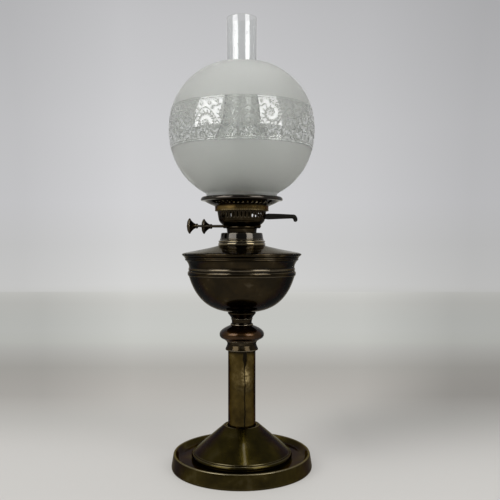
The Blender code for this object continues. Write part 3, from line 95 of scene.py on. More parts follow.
# %% [markdown]
# ## The studio
# A pale floor and four lamps make the picture's light. Two tall soft boxes stand in front
# of the lamp, on its left and its right, and give the long white stripes on the glass and
# the small sharp lights on the dark brass. A broad box and a narrow window hang above.
# The camera sees a plain grey wall. The metal sees a room that is dark behind the camera
# and grows paler towards the wall, which keeps patinated brass dark in a photograph.


# %% Node helpers
class Nodes:
    """A small wrapper that adds and links shader nodes in one call each."""

    def __init__(self, tree):
        self.tree = tree
        tree.nodes.clear()

    def add(self, kind, settings=None, **inputs):
        """Adds a node, sets its properties, and sets or links its inputs by name, or by number as i0."""
        node = self.tree.nodes.new(kind)
        for key, value in (settings or {}).items():
            setattr(node, key, value)
        for key, value in inputs.items():
            numbered = key[0] == "i" and key[1:].isdigit()
            self.set(node.inputs[int(key[1:]) if numbered else key.replace("_", " ")], value)
        return node

    def set(self, socket, value):
        """A socket takes either another node's output or a plain value."""
        if isinstance(value, bpy.types.NodeSocket):
            self.tree.links.new(value, socket)
        else:
            socket.default_value = value

    def math(self, operation, a, b=0.0, c=0.0):
        """A sum, product or other operation on up to three numbers."""
        return self.add("ShaderNodeMath", {"operation": operation}, i0=a, i1=b, i2=c).outputs[0]

    def ramp(self, value, stops):
        """A scale from one number or colour to another: stops are (place, number or colour) pairs."""
        node = self.add("ShaderNodeValToRGB", i0=value)
        elements = node.color_ramp.elements
        for place, number in stops[2:]:
            elements.new(place)
        for element, (place, number) in zip(elements, stops):
            element.position = place
            element.color = number if hasattr(number, "__len__") else (number, number, number, 1)
        return node.outputs[0]

    def mix(self, share, a, b):
        """One colour turning into another."""
        node = self.add("ShaderNodeMix", {"data_type": "RGBA"}, i0=share)
        self.set(node.inputs[6], a)
        self.set(node.inputs[7], b)
        return node.outputs[2]

    def noise(self, place, scale, detail, **inputs):
        """A cloudy number between 0 and 1. Scale is how many clouds there are to a metre."""
        node = self.add("ShaderNodeTexNoise", Vector=place, Scale=scale, Detail=detail, **inputs)
        return node.outputs["Fac"]


# %% Material helpers
def new_material(name):
    """An empty material and the wrapper for its nodes."""
    material = bpy.data.materials.new(name)
    material.use_nodes = True
    return material, Nodes(material.node_tree)


def tones(rows):
    """Stops of a ramp from rows of (place, red, green, blue), in colours as seen on a screen, 0 to 255.
    They become the light that Blender works in: ((c + 0.055) / 1.055)^2.4, or c / 12.92 where dark."""
    seen = np.array(rows)[:, 1:] / 255
    light = np.where(seen <= 0.04045, seen / 12.92, ((seen + 0.055) / 1.055) ** 2.4)
    return [(row[0], (*map(float, colour), 1.0)) for row, colour in zip(rows, light)]


BLACK, WHITE = (0.0, 0.0, 0.0, 1), (1.0, 1.0, 1.0, 1)

# %% World
WALL_SCALE, WALL_SHIFT = 2.0, 0.2
WALL_TONES = [(0.0, 205, 205, 202), (0.053, 207, 207, 204), (0.062, 210, 210, 208), (0.077, 212, 212, 211),
              (0.2, 208, 208, 208), (0.32, 210, 210, 212), (0.54, 206, 206, 208), (0.85, 194, 194, 196),
              (1.0, 186, 186, 188)]
WALL_SIDES = [(0.335, 0.84), (0.41, 1.0), (0.50, 0.98), (0.585, 0.90), (0.66, 0.75)]
ROOM_LIGHT = [(0.0, 0.10), (1.0, 0.75)]
world = bpy.data.worlds.new("studio")
bpy.context.scene.world = world
world.use_nodes = True
sky = Nodes(world.node_tree)
direction = sky.add("ShaderNodeTexCoord").outputs["Generated"]
sideways, onwards, upwards = sky.add("ShaderNodeSeparateXYZ", Vector=direction).outputs
wall = sky.ramp(sky.math("MULTIPLY_ADD", upwards, WALL_SCALE, WALL_SHIFT), tones(WALL_TONES))
wall = sky.mix(sky.ramp(sky.math("MULTIPLY_ADD", sideways, 0.5, 0.5), WALL_SIDES), BLACK, wall)
room = sky.ramp(sky.math("MULTIPLY_ADD", onwards, 0.5, 0.5), ROOM_LIGHT)
path = sky.add("ShaderNodeLightPath")
seen = sky.math("MAXIMUM", path.outputs["Is Camera Ray"], path.outputs["Is Transmission Ray"])
shine = sky.add("ShaderNodeBackground", Color=sky.mix(seen, room, wall), Strength=1.0)
sky.add("ShaderNodeOutputWorld", Surface=shine.outputs[0])


# %% Soft boxes
def soft_box(name, place, aim, size, power):
    """A rectangular lamp at a place, turned towards the point that it lights, in metres and watts."""
    data = bpy.data.lights.new(name, "AREA")
    data.shape = "RECTANGLE"
    data.size, data.size_y = size
    data.energy = power
    lamp = bpy.data.objects.new(name, data)
    bpy.context.scene.collection.objects.link(lamp)
    lamp.location = place
    lamp.rotation_euler = (Vector(aim) - Vector(place)).to_track_quat("-Z", "Y").to_euler()
    print(f"{name}: {power} W")


LAMP_MIDDLE, BOX_LEVEL = (0, 0, 0.33), (0, 0, 1.43)
soft_box("soft_box_left", (-1.02, -0.80, 1.43), BOX_LEVEL, (1.02, 1.75), 26)
soft_box("soft_box_right", (0.92, -0.92, 1.43), BOX_LEVEL, (0.80, 1.75), 20)
soft_box("soft_box_above", (0.1, 0.4, 2.6), LAMP_MIDDLE, (1.4, 1.0), 5)
soft_box("window_above", (0.12, -0.30, 2.05), LAMP_MIDDLE, (0.14, 0.5), 2.3)

# %% [markdown]
# ## The floor
# The floor is one sheet of pale card. Half of its tone near the lamp is real light, so
# that the lamp's shadow falls on it. The rest is a painted tone by distance that glows,
# with painted shade in a band behind the lamp and towards the sides, and it fades into
# the wall at the far edge. A shadow is painted on a strip behind the lamp on the right,
# where the lamp keeps the left soft box's light off. The strip is a little darker: its
# painted shadow is exp(-(d / w)^2) of the distance d from its middle line, and its
# breadth w grows along it.

# %% Floor
FLOOR_HALF, FLOOR_BACK, FLOOR_SINK = 8.0, 3.28, 0.2 * MM
floor_mesh = bpy.data.meshes.new("floor")
corners = [(-FLOOR_HALF, -FLOOR_HALF, 0), (FLOOR_HALF, -FLOOR_HALF, 0),
           (FLOOR_HALF, FLOOR_BACK, 0), (-FLOOR_HALF, FLOOR_BACK, 0)]
floor_mesh.from_pydata(corners, [], [(0, 1, 2, 3)])
floor = bpy.data.objects.new("floor", floor_mesh)
floor.location.z = -FLOOR_SINK
bpy.context.scene.collection.objects.link(floor)
print("floor:", 2 * FLOOR_HALF, "m wide")

# %% Card
LIT_TONES = [(0.3, 186, 185, 183), (0.7, 193, 192, 189)]
FLOOR_RUN = 4.3
FLOOR_TONES = [(0.214, 206, 203, 198), (0.233, 204, 201, 196), (0.255, 198, 195, 190), (0.283, 189, 187, 182),
               (0.317, 186, 183, 178), (0.36, 180, 177, 172), (0.40, 176, 174, 169), (0.455, 188, 187, 183),
               (0.50, 197, 198, 193), (0.56, 199, 200, 196), (0.65, 198, 199, 195), (0.80, 199, 199, 195),
               (0.88, 202, 202, 198), (0.96, 206, 206, 202), (0.99, 208, 208, 205)]
FAR_SHARE = [(0.25, 0.0), (0.33, 1.0)]
FLOOR_SIDES = [(0.34, 0.80), (0.41, 1.0), (0.585, 0.95), (0.655, 0.73)]
PAINTED_SHADOW_SLOPE, PAINTED_SHADOW_START, PAINTED_SHADOW_SPREAD, PAINTED_SHADOW_BREADTH, PAINTED_SHADOW_LEAST = 0.72, 0.035, 0.35, 0.08, 0.05
PAINTED_SHADOW_SHARE = [(0.04, 0.0), (0.18, 0.22), (0.5, 0.2), (0.85, 0.0)]
card, n = new_material("card")
place = n.add("ShaderNodeTexCoord").outputs["Object"]
across, back = n.add("ShaderNodeSeparateXYZ", Vector=place).outputs[:2]
# Painted shadow of the lamp: a darker strip on the floor behind it on the right.
from_line = n.math("SUBTRACT", n.math("MULTIPLY_ADD", across, -PAINTED_SHADOW_SLOPE, back), PAINTED_SHADOW_START)
breadth = n.math("MAXIMUM", n.math("MULTIPLY_ADD", across, PAINTED_SHADOW_SPREAD, PAINTED_SHADOW_BREADTH), PAINTED_SHADOW_LEAST)
square = n.math("POWER", n.math("DIVIDE", from_line, breadth), 2.0)
fall = n.math("EXPONENT", n.math("MULTIPLY", square, -1.0))
painted_shadow = n.math("MULTIPLY", fall, n.ramp(across, PAINTED_SHADOW_SHARE))
# The painted shadow darkens the lit card's colour as well as the glowing tone.
lit_tone = n.mix(painted_shadow, n.ramp(n.noise(place, 1.3, 2.0), tones(LIT_TONES)), BLACK)
lit = n.add("ShaderNodeBsdfPrincipled", Base_Color=lit_tone, Roughness=0.6)
backwards = n.math("MULTIPLY_ADD", back, 1 / FLOOR_RUN, 1 / FLOOR_RUN)
far = n.ramp(backwards, FAR_SHARE)
bearing = n.math("DIVIDE", n.math("SUBTRACT", across, EYE[0]), n.math("SUBTRACT", back, EYE[1]))
# Painted shade: the far floor is darker towards the sides, and FLOOR_TONES darken a band behind the lamp.
sides = n.ramp(n.math("MULTIPLY_ADD", bearing, 0.5, 0.5), FLOOR_SIDES)
far_tone = n.mix(n.mix(far, WHITE, sides), BLACK, n.ramp(backwards, tones(FLOOR_TONES)))
# The painted tones glow for the camera and in the glass and the metal.
plain = n.add("ShaderNodeEmission", Color=n.mix(painted_shadow, far_tone, BLACK), Strength=1.0)
path = n.add("ShaderNodeLightPath")
seen = n.math("MAXIMUM", path.outputs["Is Camera Ray"],
              n.math("MAXIMUM", path.outputs["Is Transmission Ray"], path.outputs["Is Glossy Ray"]))
share = n.math("MULTIPLY", seen, n.math("MULTIPLY_ADD", far, 0.5, 0.5))
surface = n.add("ShaderNodeMixShader", Fac=share, i1=lit.outputs[0], i2=plain.outputs[0])
n.add("ShaderNodeOutputMaterial", Surface=surface.outputs[0])
floor_mesh.materials.append(card)

# %% [markdown]
# ## Patinated brass
# Old lacquered brass is dark brown, with an olive cast, fine rings from the lathe and
# bare edges where hands and cloths have rubbed. The rings come from a noise pattern on
# the distance from an axis, so they run round the piece as the lathe's marks do. The
# rubbed edges come from a number kept on the mesh, which says how sharply the surface
# turns outwards there. Below 0 it darkens the brass: dirt in a groove, and on the column
# a painted shadow under the collar.


# %% Brass
UPRIGHT = ((0, 1), 2)
LYING = ((1, 2), 0)
# The dark colour of dirt in grooves and of painted shade.
DIRT_AND_SHADE = (0.004, 0.003, 0.002, 1)


def lathe_coordinate(n, axis):
    """(distance from an axis through the origin, place along it) as a vector for a noise pattern."""
    here = n.add("ShaderNodeTexCoord").outputs["Object"]
    parts = n.add("ShaderNodeSeparateXYZ", Vector=here).outputs
    first, second = (n.math("POWER", parts[i], 2.0) for i in axis[0])
    radius = n.math("SQRT", n.math("ADD", first, second))
    return here, n.add("ShaderNodeCombineXYZ", X=radius, Y=parts[axis[1]]).outputs[0]


def brass(name, deep, warm, bare, rubbed=0.28, patches=0.1, roughness=(0.14, 0.24), metallic=1.0,
          axis=UPRIGHT, coat=0.15, broken=0.75, grazing=(0.30, 0.27, 0.20)):
    """Patina in two browns, rubbed to bare metal along the edges, over rings from the lathe.
    Broken is how much of the rubbing is left where the mottling is darkest."""
    material, n = new_material(name)
    here, turned_place = lathe_coordinate(n, axis)
    blotch = n.noise(here, 38.0, 5.0, Roughness=0.55)
    mottle = n.noise(here, 260.0, 2.0, Roughness=0.6)
    rings = n.noise(turned_place, 1400.0, 2.0, Roughness=0.6)
    colour = n.mix(n.ramp(blotch, [(0.38, 0.0), (0.62, 1.0)]), (*deep, 1), (*warm, 1))
    wear_dirt_and_shade = n.add("ShaderNodeAttribute", {"attribute_name": "edge"}).outputs["Fac"]
    left = n.ramp(mottle, [(0.40, broken), (0.58, 1.0)])
    rub = n.math("MULTIPLY", n.ramp(wear_dirt_and_shade, [(0.15, 0.0), (0.9, 1.0)]), rubbed)
    spots = n.math("MULTIPLY", n.ramp(blotch, [(0.58, 0.0), (0.72, 1.0)]), patches)
    rub = n.math("MULTIPLY", n.math("MAXIMUM", rub, spots), left)
    colour = n.mix(rub, colour, (*bare, 1))
    # Below 0 the number darkens the brass: dirt in grooves, and painted shade where a piece puts it, as under
    # the column's collar.
    darkening = n.ramp(n.math("MULTIPLY", wear_dirt_and_shade, -1.0), [(0.05, 0.0), (0.6, 0.9)])
    colour = n.mix(darkening, colour, DIRT_AND_SHADE)
    shine = n.math("SUBTRACT", 1.0, n.math("MULTIPLY", rub, 0.7))
    dull = n.math("MULTIPLY", n.ramp(blotch, [(0.35, roughness[0]), (0.65, roughness[1])]), shine)
    dull = n.math("ADD", dull, n.math("MULTIPLY", darkening, 0.3))
    relief = n.add("ShaderNodeBump", Strength=0.05, Distance=0.0003, Height=rings)
    shader = n.add("ShaderNodeBsdfPrincipled", Base_Color=colour, Roughness=dull, Metallic=metallic,
                   Specular_Tint=(*grazing, 1), Normal=relief.outputs[0], Coat_Weight=coat,
                   Coat_Roughness=0.06)
    n.add("ShaderNodeOutputMaterial", Surface=shader.outputs[0])
    return material


DARK_BRASS = brass("patinated_brass", (0.015, 0.0100, 0.0036), (0.030, 0.020, 0.0072), (0.66, 0.56, 0.40),
                   rubbed=0.42)
OLIVE_BRASS = brass("olive_brass", (0.015, 0.0108, 0.0010), (0.031, 0.0228, 0.0028), (0.62, 0.54, 0.36),
                    rubbed=0.75, patches=0.02, roughness=(0.18, 0.24), coat=0.1, grazing=(0.40, 0.37, 0.25))
DISH_BRASS = brass("dish_brass", (0.022, 0.0155, 0.0022), (0.044, 0.032, 0.0056), (0.62, 0.54, 0.36),
                   rubbed=0.5, patches=0.05, roughness=(0.30, 0.42), coat=0.1, grazing=(0.40, 0.36, 0.25))
RED_BRASS = brass("red_brass", (0.030, 0.0135, 0.0035), (0.060, 0.029, 0.009), (0.40, 0.27, 0.14),
                  roughness=(0.28, 0.38), coat=0.3)
GOLD_BRASS = brass("rubbed_brass", (0.032, 0.021, 0.0045), (0.086, 0.058, 0.014), (0.50, 0.39, 0.19),
                   rubbed=0.9, patches=0.25, coat=0.08, broken=0.15)
GILT_BRASS = brass("gilt_brass", (0.056, 0.037, 0.011), (0.170, 0.112, 0.036), (0.46, 0.36, 0.18),
                   rubbed=0.35, patches=0.3, roughness=(0.24, 0.36), coat=0.1)
BRIGHT_BRASS = brass("bright_brass", (0.070, 0.052, 0.020), (0.16, 0.12, 0.05), (0.60, 0.50, 0.32),
                     rubbed=0.22, patches=0.2, roughness=(0.07, 0.13), coat=1.0)
GLOSSY_BRASS = brass("glossy_brass", (0.020, 0.016, 0.012), (0.040, 0.033, 0.024), (0.42, 0.34, 0.20),
                     roughness=(0.08, 0.14), coat=0.45)
print("finishes:", len(bpy.data.materials))

# %% [markdown]
# ## Turning a section
# A section is a short list of corners, each with a radius, a height and a rounding. The
# rounding cuts the corner back along both sides and bridges it with a curve. A corner
# whose rounding is longer than its sides gives a smooth flowing line, so one function
# draws both crisp steps and long swells. A fourth number, where a row has one, is how
# much of the ring's notches, the cap's lugs or the skirt's nicks that corner takes.


# %% Rounded sections
FLOW = 99.0
WEAR_REACH = 0.8


def rounded(rows, steps=6, closed=True):
    """A fine path through rounded corners, as rows of (radius, height, share of the swell).
    Each corner C is cut back to A and B on its two sides, by at most half a side, and
    replaced by the curve (1-s)^2 A + 2s(1-s) C + s^2 B for s from 0 to 1."""
    rows = np.array([tuple(row) + (0.0,) * (4 - len(row)) for row in rows], float)
    corner, cut = rows[:, [0, 1, 3]], rows[:, 2]
    before, after = np.roll(corner, 1, axis=0), np.roll(corner, -1, axis=0)
    reach_before = np.hypot(*(before - corner)[:, :2].T) + 1e-9
    reach_after = np.hypot(*(after - corner)[:, :2].T) + 1e-9
    a = corner + (before - corner) * np.minimum(cut / reach_before, 0.5)[:, None]
    b = corner + (after - corner) * np.minimum(cut / reach_after, 0.5)[:, None]
    if not closed:
        a[0] = b[0] = corner[0]
        a[-1] = b[-1] = corner[-1]
    s = np.linspace(0, 1, steps)[None, :, None]
    path = (1 - s) ** 2 * a[:, None] + 2 * s * (1 - s) * corner[:, None] + s ** 2 * b[:, None]
    path = path.reshape(-1, 3)
    if not closed:
        path = path[steps - 1:len(path) - steps + 1]
    moved = np.hypot(*(path - np.roll(path, 1, axis=0))[:, :2].T) > 1e-4
    if not closed:
        moved[0] = True
    return path[moved]


def outwards(path):
    """The path, run anticlockwise in the (radius, height) plane, so that faces point out.
    Its way round is the sign of the area, half the sum of r z' - r' z over its sides."""
    r, z = path[:, 0], path[:, 1]
    area = np.sum(r * np.roll(z, -1) - np.roll(r, -1) * z)
    return path if area > 0 else path[::-1]


def edge_wear(path):
    """How sharply the path turns at each row: near 1 on a crisp outer edge, below 0 in a groove.
    It is the turn from the way in to the way out, in radians to each 0.8 mm of the path."""
    way_in = path[:, :2] - np.roll(path[:, :2], 2, axis=0)
    way_out = np.roll(path[:, :2], -2, axis=0) - path[:, :2]
    cross = way_in[:, 0] * way_out[:, 1] - way_in[:, 1] * way_out[:, 0]
    dot = (way_in * way_out).sum(axis=1)
    length = (np.hypot(*way_in.T) + np.hypot(*way_out.T)) / 2 + 1e-6
    return np.clip(WEAR_REACH * np.arctan2(cross, dot) / length, -1, 1)


def on_circle(radius, angle):
    """Points of a circle, or of an arc: (r cos a, r sin a)."""
    return radius * np.column_stack([np.cos(angle), np.sin(angle)])


def squared_off(value, power):
    """A sine or cosine raised to a power with its sign kept: a power under 1 squares a circle off."""
    return np.sign(value) * np.abs(value) ** power


# %% Meshes from grids
WELD, SLIVER, CREASE = 2e-6, 1e-7, 40


def skin(grid, closes=False, flip=False):
    """A grid of points with the corner numbers of its four-sided faces. The last column is
    joined to the first, and the last row too if the grid closes. Flip turns the faces over."""
    rows, columns = grid.shape[:2]
    i = np.arange(rows if closes else rows - 1)[:, None]
    j = np.arange(columns)[None, :]
    below, above, right = i * columns, (i + 1) % rows * columns, (j + 1) % columns
    faces = np.stack([below + j, below + right, above + right, above + j], axis=-1).reshape(-1, 4)
    return grid, faces[:, ::-1] if flip else faces


def joined(parts):
    """Several (points, faces) pairs made one: the corner numbers follow on from part to part."""
    starts = np.cumsum([0] + [points[..., 0].size for points, _ in parts])
    return (np.concatenate([points.reshape(-1, 3) for points, _ in parts]),
            np.concatenate([faces + start for (_, faces), start in zip(parts, starts)]))


def make_mesh(name, points, faces, edge=None, crease=CREASE):
    """Puts points in millimetres and faces into a mesh, welds what meets and shades it smooth. The
    wear, with dirt and painted shade below 0, goes in as the number named edge, and edges sharper
    than the crease stay crisp."""
    mesh = bpy.data.meshes.new(name)
    mesh.from_pydata((points.reshape(-1, 3) * MM).tolist(), [], faces.tolist())
    if edge is not None:
        numbers = mesh.attributes.new("edge", "FLOAT", "POINT")
        numbers.data.foreach_set("value", edge.astype(np.float32).ravel())
    work = bmesh.new()
    work.from_mesh(mesh)
    bmesh.ops.remove_doubles(work, verts=work.verts, dist=WELD)
    bmesh.ops.dissolve_degenerate(work, edges=work.edges, dist=SLIVER)
    work.to_mesh(mesh)
    work.free()
    mesh.polygons.foreach_set("use_smooth", np.ones(len(mesh.polygons), bool))
    mesh.set_sharp_from_angle(angle=math.radians(crease))
    return mesh


def face_outwards(mesh):
    """Recalculates which way the faces of closed shells point."""
    work = bmesh.new()
    work.from_mesh(mesh)
    bmesh.ops.recalc_face_normals(work, faces=work.faces)
    work.to_mesh(mesh)
    work.free()


# %% Placing a piece
def place_piece(name, mesh, material, body, slot, *stands_for):
    """Links a finished piece, gives it its finish, hangs it on its CAD body and hides the CAD nodes that it
    stands for.
    """
    piece = bpy.data.objects.new(name, mesh)
    bpy.context.scene.collection.objects.link(piece)
    mesh.materials.append(material)
    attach(piece, body)
    if stands_for:
        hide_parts(*stands_for)
    print(f"{name}: {len(mesh.polygons)} faces")
    return piece


def foot_of(node):
    """The lowest point of a CAD node, in millimetres."""
    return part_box(node)[0].z / MM


# %% Turned pieces
AROUND, FINE_AROUND = 160, 240


def full_turn(count):
    """Angles at equal steps round a circle."""
    return np.arange(count) * TAU / count


def round_axis(radius, angle, height):
    """Points at a radius and an angle round the Z axis, at a height: (r cos a, r sin a, z)."""
    return np.stack(np.broadcast_arrays(radius * np.cos(angle), radius * np.sin(angle), height), axis=-1)


def turn(path, around=AROUND, swell=None):
    """A path turned round the Z axis: a point for each of its rows and each angle. A row's
    third number times swell(angle) is added to its radius."""
    angle = full_turn(around)
    radius = path[:, :1] + (path[:, 2:] * swell(angle) if swell else 0.0)
    return round_axis(radius, angle, path[:, 1:2])


def turned_mesh(name, path, around=AROUND, swell=None, wear=None):
    """The mesh of a closed path turned round the Z axis. Wear has one number for each row."""
    edge = None if wear is None else np.repeat(wear, around)
    return make_mesh(name, *skin(turn(path, around, swell), True), edge)


def turned_piece(name, node, rows, material, body="lamp_stand", slot="patinated_brass", around=AROUND,
                 swell=None, rubbed_below=math.inf):
    """A closed section turned into a solid, standing on the foot of the CAD node that it replaces.
    Its edges above the height rubbed_below kept their patina."""
    path = outwards(rounded(rows))
    wear = edge_wear(path)
    wear = np.where(path[:, 1] < rubbed_below, wear, np.minimum(wear, 0))
    mesh = turned_mesh(name, path + np.array([0, foot_of(node), 0]), around, swell, wear)
    return place_piece(name, mesh, material, body, slot, node)


# %% [markdown]
# ## The foot
# The foot is a spun dish with a raised rim and a flat channel, and a plain cone with a
# rolled edge stands in it. Each row gives a radius, a height above the piece's own foot
# and a rounding, in millimetres.

# %% Dish and cone
DISH_ROWS = [(4.3, 12.5, 0), (84.9, 12.5, 1.5), (87.8, 13.6, 2), (90.6, 18.0, 2), (91.7, 19.6, 0.8),
             (93.0, 20.0, 0.8), (94.2, 19.4, 1), (94.7, 17.8, 1.2), (97.0, 4.0, 1.5), (97.3, 2.2, 0.8),
             (96.8, 0, 0.4), (93.3, 0, 0.4), (93.3, 1.8, 0.2), (95.5, 2.6, 0.5), (93.3, 17.0, 1),
             (92.7, 18.4, 0.5), (91.8, 17.8, 0.8), (87.2, 11.2, 1.5), (4.3, 11.0, 0)]
turned_piece("dish", "base_dish", DISH_ROWS, DISH_BRASS, around=FINE_AROUND)
CONE_ROWS = [(19.8, 43.5, 0.3), (21.0, 44.7, 0.6), (24.2, 44.7, 0.6), (25.8, 43.4, 0.8), (66.0, 8.8, 0.3),
             (66.5, 8.0, 0.2), (68.2, 7.2, 1.2), (69.8, 4.2, 1.8), (69.4, 1.2, 1.4), (66.5, 0, 1.4),
             (63.2, 1.0, 1.2), (62.4, 3.7, 0.8), (62.4, 6.2, 0.6), (24.4, 42.2, 0.4), (19.8, 42.2, 0.2)]
turned_piece("cone", "base_cone", CONE_ROWS, OLIVE_BRASS, around=200)

# %% [markdown]
# ## The column and its turned ends
# The column is a rolled tube whose seam was soldered. The seam is modelled as a
# narrow groove that wanders a little, because that is what catches the light. The brass
# is bare beside the seam's middle, where hands hold the lamp. Just under the collar it
# is darkened by a painted shadow of the collar.


# %% Column
COLUMN_RADIUS, COLUMN_WALL = 19.1, 1.2
SEAM_ANGLE, SEAM_FLANK = math.radians(-77), 0.5
SEAM_WIDTH, SEAM_DEPTH = 0.65, 0.50
SEAM_GAPE, SEAM_RUB = 152.0, 127.0
SEAM_WAVES = [(0.35, 23, 0), (0.22, 61, 1), (0.12, 143, 2)]
PAINTED_SHADE_DROP, PAINTED_SHADE_REACH = 5.0, 4.0


def bell(distance, width):
    """1 at no distance and falling off as exp(-(d / w)^2)."""
    return np.exp(-(distance / width) ** 2)


def column_points(rows=150, near=100, far=120):
    """A tube whose radius dips along a wandering seam. The dip is exp(-|d / w|^3) of the
    distance d from the seam round the tube, and the seam wanders by a sum of slow sines.
    The grid's columns are close together within half a radian of the seam. With the points
    goes the wear: bells of the distance from the rubbed place, less the groove and a painted
    shadow under the collar."""
    low, high = (corner.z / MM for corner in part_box("column_tube"))
    height = np.linspace(low, high, rows)[:, None]
    turns = [np.linspace(-SEAM_FLANK, SEAM_FLANK, near + 1)[:-1],
             np.linspace(SEAM_FLANK, TAU - SEAM_FLANK, far + 1)[:-1]]
    angle = SEAM_ANGLE + np.concatenate(turns)[None, :]
    share = (height - low) / (high - low)
    wander = sum(size * np.sin(share * waves + start) for size, waves, start in SEAM_WAVES)
    away = (np.mod(angle - SEAM_ANGLE + math.pi, TAU) - math.pi) * COLUMN_RADIUS - wander
    gape = 2.0 * bell(height - SEAM_GAPE, 8.0)
    groove = np.exp(-np.abs(away / (SEAM_WIDTH + gape)) ** 3)
    rubbed = bell(away - 1.5, 6.0) * bell(height - SEAM_RUB, 14.0)
    rubbed = np.maximum(rubbed, 0.28 * bell(away, 26.0) * bell(height - SEAM_RUB + 6, 26.0))
    # Painted shadow: the column is darker just under the collar, where the collar shades it.
    darkening = 0.6 * bell(high - PAINTED_SHADE_DROP - height, PAINTED_SHADE_REACH)
    outside = round_axis(COLUMN_RADIUS - (SEAM_DEPTH + 0.3 * gape) * groove, angle, height)
    inside = round_axis(COLUMN_RADIUS - COLUMN_WALL, angle, height)
    # Below 0 this number darkens the brass: the seam's groove, and the painted shadow under the collar.
    wear = np.concatenate([rubbed - 1.6 * groove - darkening, np.zeros_like(groove)])
    return np.concatenate([outside, inside[::-1]]), wear


column_grid, column_wear_and_shade = column_points()
column_mesh = make_mesh("column", *skin(column_grid, True), column_wear_and_shade)
place_piece("column", column_mesh, GOLD_BRASS, "lamp_stand", "worn_brass", "column_tube")

# %% Collar, knop and socket
COLLAR_ROWS = [(19.4, 0, 0.2), (22.5, 0, 0.5), (22.8, 1.0, 0.5), (22.3, 2.6, 1), (21.2, 5.0, 2),
               (20.1, 7.6, 2), (20.3, 10.2, 1.5), (21.2, 11.6, 0.5), (21.6, 12.5, 0.3), (4.3, 12.5, 0),
               (4.3, 5.0, 0), (19.4, 5.0, 0)]
turned_piece("collar", "column_collar", COLLAR_ROWS, DARK_BRASS)
KNOP_ROWS = [(4.3, 0, 0), (22.4, 0, 0.4), (23.2, 0.9, 0.4), (24.4, 1.4, 0.5), (24.2, 2.0, 0.3),
             (27.6, 3.0, FLOW), (30.3, 5.2, FLOW), (31.1, 8.6, FLOW), (30.5, 11.6, FLOW),
             (28.7, 14.1, FLOW), (25.1, 16.9, FLOW), (20.2, 19.4, FLOW), (17.0, 20.7, 0.6),
             (16.0, 21.3, 0.3), (4.3, 21.3, 0)]
turned_piece("knop_ball", "knop", KNOP_ROWS, RED_BRASS)
SOCKET_ROWS = [(4.3, 0, 0), (15.2, 0, 0.4), (15.9, 0.8, 0.5), (15.4, 1.7, 0.5), (14.2, 2.6, FLOW),
               (13.8, 3.8, FLOW), (14.0, 5.6, FLOW), (14.6, 8.0, 1), (15.2, 9.0, 0.3), (14.5, 9.6, 0.2),
               (15.0, 10.1, 0.3), (16.0, 11.9, FLOW), (17.6, 13.9, FLOW), (19.0, 15.4, 0.8),
               (19.6, 16.5, 0.4), (19.5, 17.7, 0.3), (0, 17.7, 0), (0, 9.3, 0), (4.3, 9.3, 0)]
turned_piece("socket", "font_socket", SOCKET_ROWS, DARK_BRASS, rubbed_below=10.0)

# %% [markdown]
# ## The oil font
# The bowl swells to a bead, draws in to a waist and steps out to a sharp rim. The
# cover is a separate shallow disc, and a ring on it takes the burner. The ring's lip is
# cut back in three places, where the lugs of the burner drop in.

# %% Bowl and cover
BOWL_ROWS = [(0, 0, 0), (18.6, 0, 0.3), (19.2, 0.5, 0.3), (28.3, 2.2, FLOW), (37.6, 4.9, FLOW),
             (48.0, 10.4, FLOW), (57.3, 18.6, FLOW), (65.0, 29.2, FLOW), (70.2, 40.4, FLOW),
             (73.4, 50.2, 0.6), (74.6, 51.0, 0.7), (75.2, 53.5, FLOW), (74.7, 56.0, 0.7), (73.6, 56.9, 0.4),
             (73.5, 58.4, 0.4), (74.0, 59.1, 0.6), (73.9, 60.5, 0.6), (73.1, 61.5, 0.8), (73.1, 63.4, FLOW),
             (74.0, 66.6, FLOW), (75.4, 69.4, FLOW), (77.2, 71.6, 0.6), (78.5, 72.1, 0.3), (78.7, 73.4, 0.4),
             (78.2, 74.2, 0.2), (79.4, 75.6, 0.5), (79.0, 76.3, 0.2), (81.0, 77.4, 0.8), (82.7, 79.2, 0.3),
             (82.8, 80.0, 0.1), (81.4, 80.0, 0.2), (77.0, 74.0, 1), (72.0, 66.0, 3), (71.8, 50.0, 4),
             (63.8, 29.6, FLOW), (52.0, 15.2, FLOW), (37.0, 6.1, FLOW), (19.0, 1.3, 2), (0, 1.2, 0)]
turned_piece("bowl", "font_bowl", BOWL_ROWS, DARK_BRASS, around=FINE_AROUND, rubbed_below=64)
COVER_ROWS = [(27.0, 11.6, 0.1), (33.8, 11.6, 0.5), (35.6, 10.9, 1), (47.0, 8.1, FLOW), (62.4, 5.1, FLOW),
              (75.1, 2.7, 4), (80.6, 1.5, 0.8), (81.2, 0.9, 0.3), (82.6, 0.7, 0.2), (82.8, 0.1, 0.1),
              (82.6, 0, 0.1), (78.0, 0, 0.2), (75.1, 1.4, 1), (62.4, 3.9, FLOW), (47.0, 6.9, FLOW),
              (36.4, 9.4, 1.2), (33.6, 10.4, 0.4), (27.0, 10.4, 0.1)]
turned_piece("cover", "font_cover", COVER_ROWS, DARK_BRASS, around=FINE_AROUND, rubbed_below=0)

# %% Ring
LUG_COUNT, NOTCH_DEPTH, NOTCH_HALF, NOTCH_TURN = 3, 2.4, 4.7 / 22.0, math.radians(30)
FIRST_LUG = 0.75 * TAU / LUG_COUNT


def lug_lobe(angle, centre, half):
    """1 within each of the three lugs' widths round the ring, and 0 elsewhere."""
    away = np.mod(angle - centre + math.pi / LUG_COUNT, TAU / LUG_COUNT) - math.pi / LUG_COUNT
    return (np.abs(away) < half).astype(float)


def notches(angle):
    """How far the ring's lip is cut back at an angle."""
    return NOTCH_DEPTH * lug_lobe(angle, FIRST_LUG + NOTCH_TURN, NOTCH_HALF)


